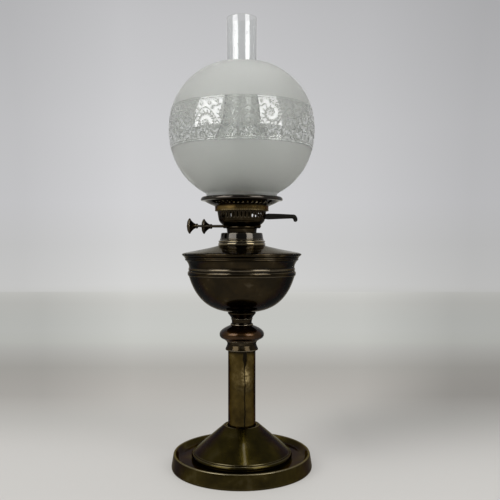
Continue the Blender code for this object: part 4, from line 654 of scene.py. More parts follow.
RING_ROWS = [(25.0, 0, 0.2), (28.0, 0, 0.2), (27.7, 0.8, 0.5), (26.9, 2.8, FLOW), (26.7, 4.8, 0.1),
             (31.0, 4.8, 0.6), (32.5, 5.5, 1.0), (33.2, 7.9, FLOW), (32.8, 10.1, 0.7), (31.9, 10.6, 0.2),
             (31.9, 11.0, 0.2), (32.6, 11.3, 0.3), (32.8, 12.1, 0.4), (32.3, 13.0, 0.3), (31.5, 13.9, 0.2),
             (22.0, 13.9, 0.1, 1), (22.0, 12.4, 0.1, 1), (25.0, 12.4, 0.1)]
turned_piece("ring", "font_collar", RING_ROWS, BRIGHT_BRASS, swell=notches)

# %% [markdown]
# ## The burner's foot
# The burner drops into the ring and locks with three lugs when it is twisted. The lugs
# grow out of the drum's section where the angle falls within a lug's width.

# %% Bayonet cap
LUG_HEIGHT, LUG_HALF = 2.3, 4.0 / 23.0


def lugs(angle):
    """How far the lugs stand proud of the drum at an angle."""
    return LUG_HEIGHT * lug_lobe(angle, FIRST_LUG, LUG_HALF)


CAP_ROWS = [(29.4, 9.1, 0.1), (30.4, 9.1, 0.2), (30.6, 9.7, 0.3), (30.4, 10.7, 0.3), (29.8, 11.1, 0.2),
            (29.0, 17.3, 1.0), (28.6, 18.5, 0.5), (27.8, 19.0, 0.4), (18.0, 19.0, 0.2), (18.0, 17.8, 0.1),
            (20.4, 17.8, 0.1), (20.4, 0, 0.1), (21.7, 0, 0.2), (21.7, 5.48, 0), (21.7, 5.5, 0, 1),
            (21.7, 7.0, 0, 1), (21.7, 7.02, 0), (21.7, 17.8, 0.1), (27.4, 17.8, 0.2)]
turned_piece("cap", "bayonet_cap", CAP_ROWS, GLOSSY_BRASS, body="burner", swell=lugs)

# %% [markdown]
# ## Pierced sheet metal
# The burner's basket and the gallery are sheet brass with a ring of punched holes. Each
# hole gets a cell of sheet round it. Between the hole's edge and the cell's border the
# points lie on straight lines, in flat coordinates: the share of the way round the ring,
# and the length along the section. The flat sheet is then rolled onto the section, and
# given its wall by stepping back along the section's normal.


# %% Rolling a flat sheet onto a section
def with_lengths(path):
    """Rows of (length along the path, radius, height, normal's radius part, normal's height part).
    The normal points to the right of the way that the path runs."""
    steps = np.diff(path[:, :2], axis=0)
    length = np.concatenate([[0], np.cumsum(np.hypot(*steps.T))])
    run = np.gradient(path[:, :2], length, axis=0)
    run /= np.hypot(*run.T)[:, None]
    return np.column_stack([length, path[:, :2], run[:, 1], -run[:, 0]])


def roll_on(section, along, angle, depth):
    """Points at a length along the section, an angle round the axis and a depth below the
    surface: the section's point less the depth times its normal, turned by the angle."""
    radius, height, normal_r, normal_z = (np.interp(along, section[:, 0], column) for column in section.T[1:])
    return round_axis(radius - depth * normal_r, angle, height - depth * normal_z)


def length_at(section, column, value):
    """The length along a section where its radius (1) or height (2) has a value."""
    return float(np.interp(value, section[:, column], section[:, 0]))


# %% Piercing a sheet
CELL_SIDE, HOLE_WEAR = 8, (0.4, 1.0, 1.0)


def cell_border(low, high):
    """A cell's border from the middle of its right side, anticlockwise, in equal steps on each side."""
    step = np.linspace(0, 1, CELL_SIDE + 1)[:-1]
    ends = np.array([(0.5, low), (0.5, high), (-0.5, high), (-0.5, low)])
    sides = ends[:, None] + (np.roll(ends, -1, axis=0) - ends)[:, None] * step[None, :, None]
    return np.roll(sides.reshape(-1, 2), -(CELL_SIDE // 2), axis=0)


def strip_rows(section, band, wall):
    """(length along, depth) rows of the plain strips below and above the pierced band.
    Each runs over one face, round the sheet's edge and back over the other."""
    lengths = section[:, 0]
    low = np.concatenate([lengths[lengths < band[0] - 1e-3], band[:1]])
    high = np.concatenate([band[1:], lengths[lengths > band[1] + 1e-3]])
    for first, second, depths in ((low[::-1], low, (wall, 0)), (high, high[::-1], (0, wall))):
        yield np.column_stack([np.concatenate([first, second]), np.repeat(depths, len(first))])


def pierced_mesh(name, section, wall, band, hole, steps=9):
    """A sheet on a section, pierced in the band between two lengths along it. hole has a loop of
    (share of the cell's width, length along) for each cell round the ring.
    Within a cell, point (t, s) is hole(t) + s (border(t) - hole(t)), outside first and then inside.
    The steps of s follow a power of 1.2, so that they are closer together at the hole."""
    cells, border = len(hole), cell_border(*band)
    spread = np.linspace(1, 0, steps)[:, None, None] ** 1.2
    out = hole[:, None] + spread * (border - hole)[:, None]
    flat = np.concatenate([out, out[:, ::-1]], axis=1)
    depth = np.repeat((0.0, wall), steps)[None, :, None]
    angle = (np.arange(cells)[:, None, None] + flat[..., 0]) * TAU / cells
    points = roll_on(section, flat[..., 1], angle, depth)
    wear = np.zeros(angle.shape)
    wear[:, steps - 2:steps + 1] = np.array(HOLE_WEAR)[:, None]
    parts = [skin(cell, flip=True) for cell in points]
    around = full_turn(cells * CELL_SIDE) - math.pi / cells
    for rows in strip_rows(section, band, wall):
        parts.append(skin(roll_on(section, rows[:, :1], around, rows[:, 1:])))
    points, faces = joined(parts)
    return make_mesh(name, points, faces, np.pad(wear.ravel(), (0, len(points) - wear.size)))


# %% [markdown]
# ## The burner's basket
# Air reaches the flames through a ring of arched slots. The slot on the right is longer,
# because the extinguisher lever swings in it. Fine ribs run round the basket's foot.

# %% Basket
CUP_FOOT = foot_of("burner_cup")
CUP_ROWS = [(20.5, 0, 0), (20.6, 2.5, 1), (21.0, 5.0, 0.5), (21.4, 5.8, 0.3), (22.5, 6.1, 0.3),
            (22.7, 7.2, 0.4), (22.4, 8.2, 0.3), (23.6, 8.9, 1), (26.6, 11.0, FLOW), (29.8, 13.7, FLOW),
            (31.5, 16.6, FLOW), (32.4, 20.0, FLOW), (33.3, 25.2, FLOW), (33.8, 29.0, FLOW), (34.0, 33.0, 2),
            (34.0, 39.5, 0)]
CUP_WALL, CUP_CELLS, CUP_STEPS = 1.0, 40, 13
RIB_FOOT, RIB_TOP, RIB_PITCH, RIB_HEIGHT = 13.4, 19.2, 1.45, 0.22
CUP_BAND, SLOT_ENDS, LEVER_SLOT_ENDS = (338.6, 356.0), (344.2, 352.6), (339.5, 350.7)
SLOT_HALF_SHARE, LEVER_SLOT_HALF_SHARE = 0.27, 0.29
cup_path = rounded(CUP_ROWS, closed=False)
fine_height = np.concatenate([np.linspace(0, RIB_FOOT, 45)[:-1], np.linspace(RIB_FOOT, RIB_TOP, 45)[:-1],
                              np.linspace(RIB_TOP, CUP_ROWS[-1][1], 60)])
in_ribs = (fine_height > RIB_FOOT) & (fine_height < RIB_TOP)
ribs = RIB_HEIGHT * in_ribs * (0.5 - 0.5 * np.cos((fine_height - RIB_FOOT) / RIB_PITCH * TAU))
cup_radius = np.interp(fine_height, cup_path[:, 1], cup_path[:, 0]) + ribs
cup_section = with_lengths(np.column_stack([cup_radius, fine_height + CUP_FOOT]))


def cup_lengths(heights):
    """The lengths along the basket's section at two heights."""
    return tuple(length_at(cup_section, 2, height) for height in heights)


def arch(low, high, half_width):
    """A slot with a round head and a round foot, as (across, along) from its right side. It is a
    superellipse: across = cos^0.6 t and along = sin^0.85 t, which keeps its sides straight."""
    t = full_turn(4 * CELL_SIDE)
    across = half_width * squared_off(np.cos(t), 0.6)
    return np.column_stack([across, (low + high) / 2 + (high - low) / 2 * squared_off(np.sin(t), 0.85)])


cup_holes = np.repeat(arch(*cup_lengths(SLOT_ENDS), SLOT_HALF_SHARE)[None], CUP_CELLS, axis=0)
cup_holes[0] = arch(*cup_lengths(LEVER_SLOT_ENDS), LEVER_SLOT_HALF_SHARE)
cup_mesh = pierced_mesh("basket", cup_section, CUP_WALL, cup_lengths(CUP_BAND), cup_holes, CUP_STEPS)
place_piece("basket", cup_mesh, DARK_BRASS, "burner", "patinated_brass", "burner_cup")

# %% [markdown]
# ## The gallery
# The gallery carries the chimney and the globe. Its flare is pierced with a ring of
# crescents, and its lip is rolled over. The skirt below it slips over the basket.

# %% Gallery
GALLERY_ROWS = [(36.9, 360.4, 0), (38.4, 360.5, 0.6), (44.4, 363.3, FLOW), (49.6, 365.9, FLOW),
                (52.2, 367.2, 0.8), (56.0, 367.6, 0.8), (57.0, 368.6, 0.8), (56.9, 370.4, FLOW),
                (55.9, 372.2, FLOW), (54.2, 373.1, FLOW), (52.6, 372.4, 0.4), (52.2, 371.6, 0)]
GALLERY_WALL, GALLERY_CELLS, GALLERY_BAND, CRESCENT = 1.1, 45, (39.8, 51.2), (4.1, 0.21, 0.30)
gallery_section = with_lengths(rounded(GALLERY_ROWS, closed=False))
gallery_band = tuple(length_at(gallery_section, 1, radius) for radius in GALLERY_BAND)


def crescent(middle, reach, half_width, bow):
    """A bowed slot: along = reach sin t, across = half width cos t, shifted by bow (1/2 - sin^2 t)."""
    t = full_turn(4 * CELL_SIDE)
    across = half_width * np.cos(t) + bow * (0.5 - np.sin(t) ** 2)
    return np.column_stack([across, middle + reach * np.sin(t)])


gallery_hole = crescent(sum(gallery_band) / 2, *CRESCENT)
gallery_mesh = pierced_mesh("gallery_flare", gallery_section, GALLERY_WALL, gallery_band,
                            np.repeat(gallery_hole[None], GALLERY_CELLS, axis=0))
place_piece("gallery_flare", gallery_mesh, GLOSSY_BRASS, "gallery", "patinated_brass", "gallery")

# %% Skirt
NICKS, NICK_DEPTH = 72, 0.18


def milled(angle):
    """The nicks all round the skirt's lower bead: depth cos(72 a)."""
    return NICK_DEPTH * np.cos(angle * NICKS)


SKIRT_ROWS = [(36.1, 0, 0.2), (36.7, 0, 0.2), (37.2, 0.5, 0.3, 1), (37.2, 1.0, 0.3, 1), (36.8, 1.5, 0.2),
              (37.1, 2.0, 0.3), (37.1, 6.2, 0.4), (37.6, 6.9, 0.2), (37.6, 7.4, 0.2), (37.1, 8.2, 0.3),
              (37.1, 11.2, 0.3), (27.0, 11.2, 0.2), (27.0, 10.0, 0.2), (36.1, 10.0, 0.2)]
skirt_path = outwards(rounded(SKIRT_ROWS)) + np.array([0, foot_of("gallery"), 0])
skirt_mesh = turned_mesh("gallery_skirt", skirt_path, 6 * NICKS, milled, edge_wear(skirt_path))
place_piece("gallery_skirt", skirt_mesh, GILT_BRASS, "gallery", "patinated_brass")

# %% [markdown]
# ## Sweeping a section
# Fingers, ribbons and wicks are closed sections carried along a path. A sweep is an array
# of sections, and the last one at each end is drawn together to a point to close it.


# %% Sweeps
def capped(sections):
    """An array of sections (how many, points in each, 3) with one more at each end, whose
    points all lie in the middle of its neighbour."""
    ends = [np.broadcast_to(sections[i].mean(axis=0), sections[i].shape)[None] for i in (0, -1)]
    return np.concatenate([ends[0], sections, ends[1]])


# %% Spring fingers
FINGERS, FINGER_STEPS, SLIT, FINGER_RADIUS, FINGER_WEAR = 8, 14, 5.0, 32.7, 0.2
BAND_ROWS = [(32.3, 0, 0.1), (33.1, 0, 0.2), (33.1, 3.0, 0.2), (32.3, 3.0, 0.1)]
turned_piece("spring_band", "chimney_springs", BAND_ROWS, GOLD_BRASS, body="gallery")
FINGER_ROWS = [(32.3, 2.0, 0.1), (33.1, 2.0, 0.1), (33.1, 8.6, FLOW), (33.3, 10.2, FLOW), (34.3, 11.9, 0.3),
               (33.6, 12.0, 0.3), (32.5, 10.2, FLOW), (32.3, 8.6, FLOW)]
finger_path = outwards(rounded(FINGER_ROWS)) + np.array([0, foot_of("chimney_springs"), 0])
finger_half = math.pi / FINGERS - SLIT / 2 / FINGER_RADIUS
for index in range(FINGERS):
    angle = np.linspace(-finger_half, finger_half, FINGER_STEPS)[:, None] + (index + 0.5) * TAU / FINGERS
    finger = capped(round_axis(finger_path[:, 0], angle, finger_path[:, 1]))
    finger_mesh = make_mesh("finger", *skin(finger), np.full(finger.shape[:2], FINGER_WEAR))
    face_outwards(finger_mesh)
    place_piece(f"spring_finger_{index}", finger_mesh, GOLD_BRASS, "gallery", "patinated_brass")

# %% [markdown]
# ## The flame dome
# The dome spreads the air over the flames and has a slot above each wick. Each half of
# it is a sheet between its slot's edge and the half disc's border. The plan is drawn in
# a disc whose radius is the length along the dome's section, so that the steep rim gets
# as many points as the flat crown.

# %% Flame dome
DOME_RADIUS, DOME_HEIGHT, DOME_WALL, DOME_POWER = 29.0, 26.0, 0.8, 2.4
DOME_SIDE, DOME_STEPS = 24, 12
SLOT_LENGTH_HALF, SLOT_WIDTH_HALF, SLOT_AT, SLOT_POWER = 13.8, 2.6, 6.0, 0.35
t = np.linspace(0, math.pi / 2, 80)
dome_path = np.column_stack([DOME_RADIUS * squared_off(np.cos(t), 2 / DOME_POWER),
                             foot_of("flame_dome") + DOME_HEIGHT * squared_off(np.sin(t), 2 / DOME_POWER)])
dome_path[-1, 0] = 0
dome_section = with_lengths(dome_path)
DOME_RUN = dome_section[-1, 0]


def flat_dome(x, y):
    """A point of the plan, moved out so that its distance is the dome's length from the crown."""
    r = np.hypot(x, y)
    run = np.interp(r, dome_section[::-1, 1], DOME_RUN - dome_section[::-1, 0])
    share = np.where(r > 0, run / np.maximum(r, 1e-9), 1)
    return np.stack([x * share, y * share], axis=-1)


def dome_half(turned_by):
    """One half of the dome: rows of points from its border to its slot, outside, and back inside."""
    t = full_turn(4 * DOME_SIDE)
    slot = flat_dome(SLOT_LENGTH_HALF * squared_off(np.cos(t), SLOT_POWER),
                     SLOT_WIDTH_HALF * squared_off(np.sin(t), SLOT_POWER) + SLOT_AT)
    arc = on_circle(DOME_RUN, np.linspace(0, math.pi, 3 * DOME_SIDE + 1))
    base = np.linspace(-DOME_RUN, DOME_RUN, DOME_SIDE + 1)[1:-1, None] * (1, 0)
    border = np.concatenate([arc, base])
    plan = slot + (border - slot) * np.linspace(0, 1, DOME_STEPS)[:, None, None]
    plan = np.concatenate([plan[::-1], plan])
    depth = np.repeat((0.0, DOME_WALL), DOME_STEPS)[:, None]
    angle = np.arctan2(plan[..., 1], plan[..., 0]) + turned_by
    return roll_on(dome_section, DOME_RUN - np.hypot(plan[..., 0], plan[..., 1]), angle, depth)


dome_rim = roll_on(dome_section, 0.0, full_turn(6 * DOME_SIDE), np.array([[0.0], [DOME_WALL]]))
dome_mesh = make_mesh("dome", *joined([skin(dome_half(0.0)), skin(dome_half(math.pi)), skin(dome_rim)]))
face_outwards(dome_mesh)
place_piece("dome", dome_mesh, GOLD_BRASS, "gallery", "patinated_brass", "flame_dome")

# %% [markdown]
# ## Glass
# The chimney is clear glass, drawn as one wall with a fire-polished top. It bulges above
# the flames, which steadies the draught, and then narrows. Its side is a chain of cubic
# curves. The globe is frosted by acid, inside and out, apart from a band that was waxed.


# %% Glass walls
def cubic(start, end, first, second, steps):
    """A cubic curve whose two handles lie at shares of the way from start to end. With shares
    f and s it is start + (3 (1-t)^2 t f + 3 (1-t) t^2 s + t^3) (end - start)."""
    start, end, first, second = (np.array(point, float) for point in (start, end, first, second))
    t = np.linspace(0, 1, steps + 1)[:-1, None]
    return start + (3 * (1 - t) ** 2 * t * first + 3 * (1 - t) * t ** 2 * second + t ** 3) * (end - start)


def wall_of(side, wall, steps=10):
    """A closed section from an outer side that runs upwards: the inner side is a wall away,
    along the normal, and half circles close the foot and the lip."""
    normal = wall / 2 * with_lengths(side)[:, 3:]
    run = np.column_stack([-normal[:, 1], normal[:, 0]])
    middle = side - normal
    t = np.linspace(0, math.pi, steps + 1)[1:-1, None]
    lip = middle[-1] + normal[-1] * np.cos(t) + run[-1] * np.sin(t)
    foot = middle[0] - normal[0] * np.cos(t) - run[0] * np.sin(t)
    path = np.concatenate([side, lip, (middle - normal)[::-1], foot])
    return outwards(np.column_stack([path, np.zeros(len(path))]))


def plain_material(name, dimming=0.0, **inputs):
    """A material with the constants given. Dimming is how much light a metre of it swallows."""
    material, n = new_material(name)
    ends = {"Surface": n.add("ShaderNodeBsdfPrincipled", **inputs).outputs[0]}
    if dimming:
        swallowed = n.add("ShaderNodeVolumeAbsorption", Color=(0.62, 0.64, 0.63, 1), Density=dimming)
        ends["Volume"] = swallowed.outputs[0]
    n.add("ShaderNodeOutputMaterial", **ends)
    return material


# %% Chimney
CLEAR_GLASS = plain_material("clear_glass", 100.0, Base_Color=(0.97, 0.975, 0.97, 1), Roughness=0.02,
                             Transmission_Weight=1.0, IOR=1.52)
CHIMNEY_WALL = 1.8
BULGE, WAIST, NECK = (42.0, 60), (26.0, 120), (20.6, 186)
chimney_side = np.concatenate([
    [(32.0, 0)],
    cubic((32.0, 20), BULGE, (0.1, 0.38), (1.0, 0.55), 24),
    cubic(BULGE, WAIST, (0.0, 0.45), (0.72, 0.68), 30),
    cubic(WAIST, NECK, (0.35, 0.28), (0.92, 0.65), 30),
    [NECK, (21.2, 253.2)]]) + np.array([0, foot_of("chimney") + CHIMNEY_WALL / 2])
chimney_mesh = turned_mesh("chimney_glass", wall_of(chimney_side, CHIMNEY_WALL))
place_piece("chimney_glass", chimney_mesh, CLEAR_GLASS, "chimney", "clear_glass", "chimney")

# %% [markdown]
# ## The globe and its frieze
# The globe's side is a superellipse, a little squarer than a circle. Its clear band has
# a frieze of scrolling stems with leaves and rosettes, of the usual rinceau kind but laid
# out for this part. Each stroke of it is a ribbon with a rhombus for a section. The ribbons
# are drawn flat, with the distance round the band and the height along it as coordinates,
# and then laid on the glass.

# %% Globe
GLOBE_RADIUS, GLOBE_WALL, GLOBE_POWER, GLOBE_AROUND = 100.3, 2.6, 2.12, 200
NECK_RADIUS, NECK_HEIGHT, NECK_BEND, MOUTH_RADIUS = 48.9, 10.5, 1.5, 46.3
LOWER_HEIGHT, UPPER_HEIGHT = 87.0, 86.2
BAND_FOOT, BAND_TOP, BAND_MARGIN = 437.5, 494.7, 0.4
globe_foot = foot_of("globe")


def globe_line(steps=150):
    """The globe's outer side from its neck up: radius R cos^(2/p) t and rise H sin^(2/p) t. The
    curve (1-s)^2 A + 2s(1-s) C + s^2 B leads into the neck."""
    power = 2 / GLOBE_POWER
    upper_turn, lower_turn = (math.acos((radius / GLOBE_RADIUS) ** (1 / power))
                              for radius in (MOUTH_RADIUS, NECK_RADIUS))
    t = np.linspace(-lower_turn, upper_turn, steps)
    half = np.where(t > 0, UPPER_HEIGHT / math.sin(upper_turn) ** power,
                    LOWER_HEIGHT / math.sin(lower_turn) ** power)
    height = globe_foot + NECK_HEIGHT + LOWER_HEIGHT + half * squared_off(np.sin(t), power)
    side = np.column_stack([GLOBE_RADIUS * np.cos(t) ** power, height])
    s = np.linspace(0, 1, 8)[1:, None]
    blend = (1 - s) ** 2 * side[2] + 2 * s * (1 - s) * side[0] + s ** 2 * (side[0] - [0.0, NECK_BEND])
    return np.concatenate([[(NECK_RADIUS, globe_foot + GLOBE_WALL / 2)], blend[::-1], side[3:]])


globe_side = globe_line()
globe_section = with_lengths(globe_side)
frost, n = new_material("frosted_glass")
here = n.add("ShaderNodeTexCoord").outputs["Object"]
height = n.add("ShaderNodeSeparateXYZ", Vector=here).outputs["Z"]
in_band = n.math("MULTIPLY", n.math("GREATER_THAN", height, (BAND_FOOT + BAND_MARGIN) * MM),
                 n.math("LESS_THAN", height, (BAND_TOP - BAND_MARGIN) * MM))
bump = n.add("ShaderNodeBump", Height=n.noise(here, 900.0, 2.0), Strength=0.08, Distance=0.0002)
etched = n.add("ShaderNodeBsdfPrincipled", Base_Color=(0.87, 0.88, 0.85, 1), Roughness=0.55, IOR=1.46,
               Transmission_Weight=0.93, Normal=bump.outputs[0])
polished = n.add("ShaderNodeBsdfPrincipled", Base_Color=(0.95, 0.96, 0.94, 1), Roughness=0.03, IOR=1.64,
                 Transmission_Weight=1.0)
both = n.add("ShaderNodeMixShader", Fac=in_band, i1=etched.outputs[0], i2=polished.outputs[0])
n.add("ShaderNodeOutputMaterial", Surface=both.outputs[0])
globe_mesh = turned_mesh("globe_glass", wall_of(globe_side, GLOBE_WALL), GLOBE_AROUND)
place_piece("globe_glass", globe_mesh, frost, "globe", "frosted_glass", "globe")

# %% Strokes of the frieze
FRIEZE_REPEATS, FRIEZE_START, BAND_RADIUS = 11, 0.18, 100.0
PERIOD = TAU * BAND_RADIUS / FRIEZE_REPEATS
BAND_ENDS = tuple(length_at(globe_section, 2, height) for height in (BAND_FOOT, BAND_TOP))
GLASS_GAP, UNDER_GAP, RIBBON_RISE = 0.05, 0.03, 0.16
STEM_WAVE, SCROLL_RADIUS, EYE_RADIUS, SCROLL_TURNS = 13.5, 15.5, 4.6, 1.3
LEAF_STEP, PETALS, FRINGE = 4.1, 7, 20


def ribbon(line, width):
    """A flat line made into a ribbon: rows of (across, along, depth), four points in each,
    which shrink to a point at both ends. The width follows sin^0.4 of the share of the way along."""
    run = np.gradient(line, axis=0)
    run /= np.hypot(*run.T)[:, None]
    side = np.column_stack([-run[:, 1], run[:, 0]])
    swell = np.sin(np.linspace(0, math.pi, len(line)) * 0.98 + 0.0314)[:, None] ** 0.4
    half = side * width / 2 * swell
    one = np.ones((len(line), 1))
    rows = [(line + half, -GLASS_GAP * one), (line, -UNDER_GAP * one), (line - half, -GLASS_GAP * one),
            (line, -GLASS_GAP - RIBBON_RISE * swell)]
    return capped(np.stack([np.hstack(row) for row in rows], axis=1))


def spiral(centre, start, outer, inner, turns, count=44):
    """A scroll: the radius falls from outer to inner while the angle makes its turns."""
    t = np.linspace(0, 1, count)[:, None]
    return np.array(centre) + on_circle(outer + (inner - outer) * t ** 0.8, start + turns * TAU * t)


def leaf(root, heading, length, bend, count=12):
    """A leaf's midline: it leaves its root at a heading and turns steadily by the bend."""
    way = heading + bend * np.linspace(0, 1, count)
    return np.array(root) + np.cumsum(on_circle(length / count, way), axis=0)


# %% Scrolls of the frieze
def scroll_group(sign):
    """One scroll with its leaves, and the rosette in its eye. The sign turns it upwards or downwards.
    The leaves stand at equal steps along the scroll, one outwards and one inwards at each."""
    centre = np.array([0.0, -5.0 * sign])
    line = spiral(centre, -0.25 * TAU * sign + 0.2, SCROLL_RADIUS, EYE_RADIUS, SCROLL_TURNS * sign)
    strokes = [(line, 1.7)]
    walked = np.concatenate([[0], np.cumsum(np.hypot(*np.diff(line, axis=0).T))])
    for walk in np.arange(1.5, walked[-1] - 4, LEAF_STEP):
        root = np.array([np.interp(walk, walked, line[:, i]) for i in range(2)])
        angle = math.atan2(*(root - centre)[::-1])
        strokes.append((leaf(root, angle + 0.1 * sign, 4.6, 1.1 * sign, 8), 1.7))
        strokes.append((leaf(root, angle + 3.0 * sign, 3.8, -1.0 * sign, 8), 1.5))
    for petal in full_turn(PETALS):
        strokes.append((leaf(centre + on_circle(0.9, petal)[0], petal, 3.5, 0.4, 8), 1.7))
    return strokes


def frieze_strokes():
    """All the strokes of one repeat: a wave of stem, a scroll on each side, tendrils and curls
    between them, and a fringe of small leaves along both borders."""
    across = np.linspace(-PERIOD / 2, PERIOD / 2, 90)
    wave = np.column_stack([across, STEM_WAVE * np.sin(across / PERIOD * TAU)])
    strokes = [(wave, 1.8)]
    for sign, shift in ((1, PERIOD / 4), (-1, -PERIOD / 4)):
        strokes += [(line + [shift, 0], width) for line, width in scroll_group(sign)]
        for side in (-1, 1):
            root = (shift + side * SCROLL_RADIUS, sign * 12.5)
            strokes.append((leaf(root, sign * 1.2 + (1 - side) * 0.35, 9.5, -side * 1.7, 16), 2.0))
            strokes.append((leaf(root, sign * 2.2 - (1 - side) * 0.35, 6.5, side * 1.4, 14), 1.8))
            for far, high, size in ((6.5, 18.5, 3.2), (12.6, -20.0, 2.6), (10.5, 12.0, 2.3)):
                place = (shift + side * far, sign * high)
                strokes.append((spiral(place, sign * 1.6, size, 0.5, side * sign * 1.3, 18), 1.5))
        strokes.append((leaf((shift, -sign * 24.0), sign * 1.57, 5.5, 0.01), 1.8))
    for index in range(FRINGE):
        for sign in (-1, 1):
            root = ((index / FRINGE - 0.5) * PERIOD, sign * 24.3)
            strokes.append((leaf(root, -sign * 1.57, 2.2 + 0.8 * (index % 2), sign * 0.6, 7), 1.0))
    return strokes


# %% Frieze
ETCHING = plain_material("etching", Base_Color=(0.60, 0.61, 0.58, 1), Roughness=0.6,
                         Transmission_Weight=0.72, IOR=1.45)
BORDER_LINES, BORDER_HALF, BORDER_RISE = (1.2, 3.8), 0.55, 0.30
border_rows = np.array([(-BORDER_HALF, -GLASS_GAP), (0, -UNDER_GAP),
                        (BORDER_HALF, -GLASS_GAP), (0, -BORDER_RISE)])
frieze_parts = []
for line, width in frieze_strokes():
    rows = ribbon(line, width)
    for repeat in range(FRIEZE_REPEATS):
        angle = (rows[..., 0] + (repeat + FRIEZE_START) * PERIOD) / BAND_RADIUS
        stroke = roll_on(globe_section, sum(BAND_ENDS) / 2 + rows[..., 1], angle, rows[..., 2])
        frieze_parts.append(skin(stroke))
for inset in BORDER_LINES:
    for place in (BAND_ENDS[0] + inset, BAND_ENDS[1] - inset):
        ring = roll_on(globe_section, place + border_rows[:, :1], full_turn(FINE_AROUND), border_rows[:, 1:])
        frieze_parts.append(skin(ring, True))
frieze_mesh = make_mesh("frieze", *joined(frieze_parts))
face_outwards(frieze_mesh)
place_piece("frieze", frieze_mesh, ETCHING, "globe", "frosted_glass")

# %% [markdown]
# ## Winders
# Each wick is raised by two toothed wheels on a shaft. The knob on the shaft's end is
# turned from bar, like a small trumpet with a domed, knurled disc. These pieces have
# their axes along X, so they are turned upright and then laid on their side.


# %% Lying pieces
def box_mm(node):
    """The corners of a CAD node's box, in millimetres."""
    return np.array(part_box(node)) / MM


def lying_piece(name, node, section, material, body, slot, around, swell=None):
    """A closed section turned round Z and laid down, so that its axis runs along -X through the
    middle of the box of the CAD node that it replaces: (x, y, z) goes to (-z, y, x). The
    section is worked out from the box's radius and length."""
    low, high = box_mm(node)
    path = outwards(rounded(section((high[2] - low[2]) / 2, high[0] - low[0])))
    end = np.array([high[0], *(low + high)[1:] / 2])
    points = end + turn(path, around, swell)[..., [2, 1, 0]] * (-1, 1, 1)
    mesh = make_mesh(name, *skin(points, True), np.repeat(edge_wear(path), around))
    place_piece(name, mesh, material, body, slot, node)


# %% Sections of the winders
KNURLS, KNURL_DEPTH, BUSH_BORE, KNOB_BORE = 54, 0.16, 1.85, 1.75


def shaft_rows(radius, length):
    """A plain bar with its ends broken."""
    return [(0, 0, 0), (radius, 0, 0.3), (radius, length, 0.3), (0, length, 0)]


def bush_rows(radius, length):
    """A short sleeve with a bore."""
    return [(BUSH_BORE, 0, 0.1), (radius, 0, 0.25), (radius, length, 0.25), (BUSH_BORE, length, 0.1)]


def knob_rows(radius, length):
    """The knob from its face to its bore: a dome with a boss, a disc and a flaring neck."""
    disc, back = length - 3.2, length - 5.2
    face = [(0, length, 0.1), (1.6, length - 0.1, 0.3), (2.0, length - 0.6, 0.3), (6.8, length - 0.8, 2.2),
            (radius - 0.6, disc + 0.3, 1.4)]
    rim = [(radius, disc - 0.3, 0.5), (radius, disc - 0.5, 0, 1), (radius, back + 0.5, 0, 1),
           (radius, back + 0.4, 0.5)]
    flare = cubic((radius - 0.9, back - 0.1), (3.0, 3.2), (0.34, 0.14), (0.84, 0.60), 16)
    hub = [(3.0, 3.2, 0.2), (3.4, 2.6, 0.2), (3.4, 1.2, 0.3), (3.0, 0, 0.3), (KNOB_BORE, 0, 0.1),
           (KNOB_BORE, 10, 0), (0, 10, 0)]
    return face + rim + [(*point, 0) for point in flare] + hub


def knurled(angle):
    """Shallow nicks round the disc's edge: -d (1 - cos(54 a)) / 2."""
    return -KNURL_DEPTH * (0.5 - 0.5 * np.cos(angle * KNURLS))


# %% Shafts, knobs and bushes
ROWS, HANDS = ("front", "back"), ("left", "right")
BRIGHT_SHAFT = brass("shaft_brass", (0.09, 0.075, 0.055), (0.16, 0.13, 0.09), (0.42, 0.36, 0.26),
                     roughness=(0.25, 0.4), axis=LYING)
for row in ROWS:
    body = f"winder_{row}"
    lying_piece(f"shaft_{row}", f"winder_shaft_{row}", shaft_rows, BRIGHT_SHAFT, body, "steel", 32)
    lying_piece(f"knob_{row}", f"winder_knob_{row}", knob_rows, DARK_BRASS, body, "patinated_brass",
                6 * KNURLS, knurled)
    for hand in HANDS:
        lying_piece(f"bush_{row}_{hand}", f"shaft_bush_{row}_{hand}", bush_rows, DARK_BRASS, "burner",
                    "patinated_brass", 40)

# %% [markdown]
# ## The extinguisher's lever
# The lever is cut from 2 mm plate. Its outline is drawn in the plane of the plate, and
# two modifiers give it its thickness and take its sharp edges off.

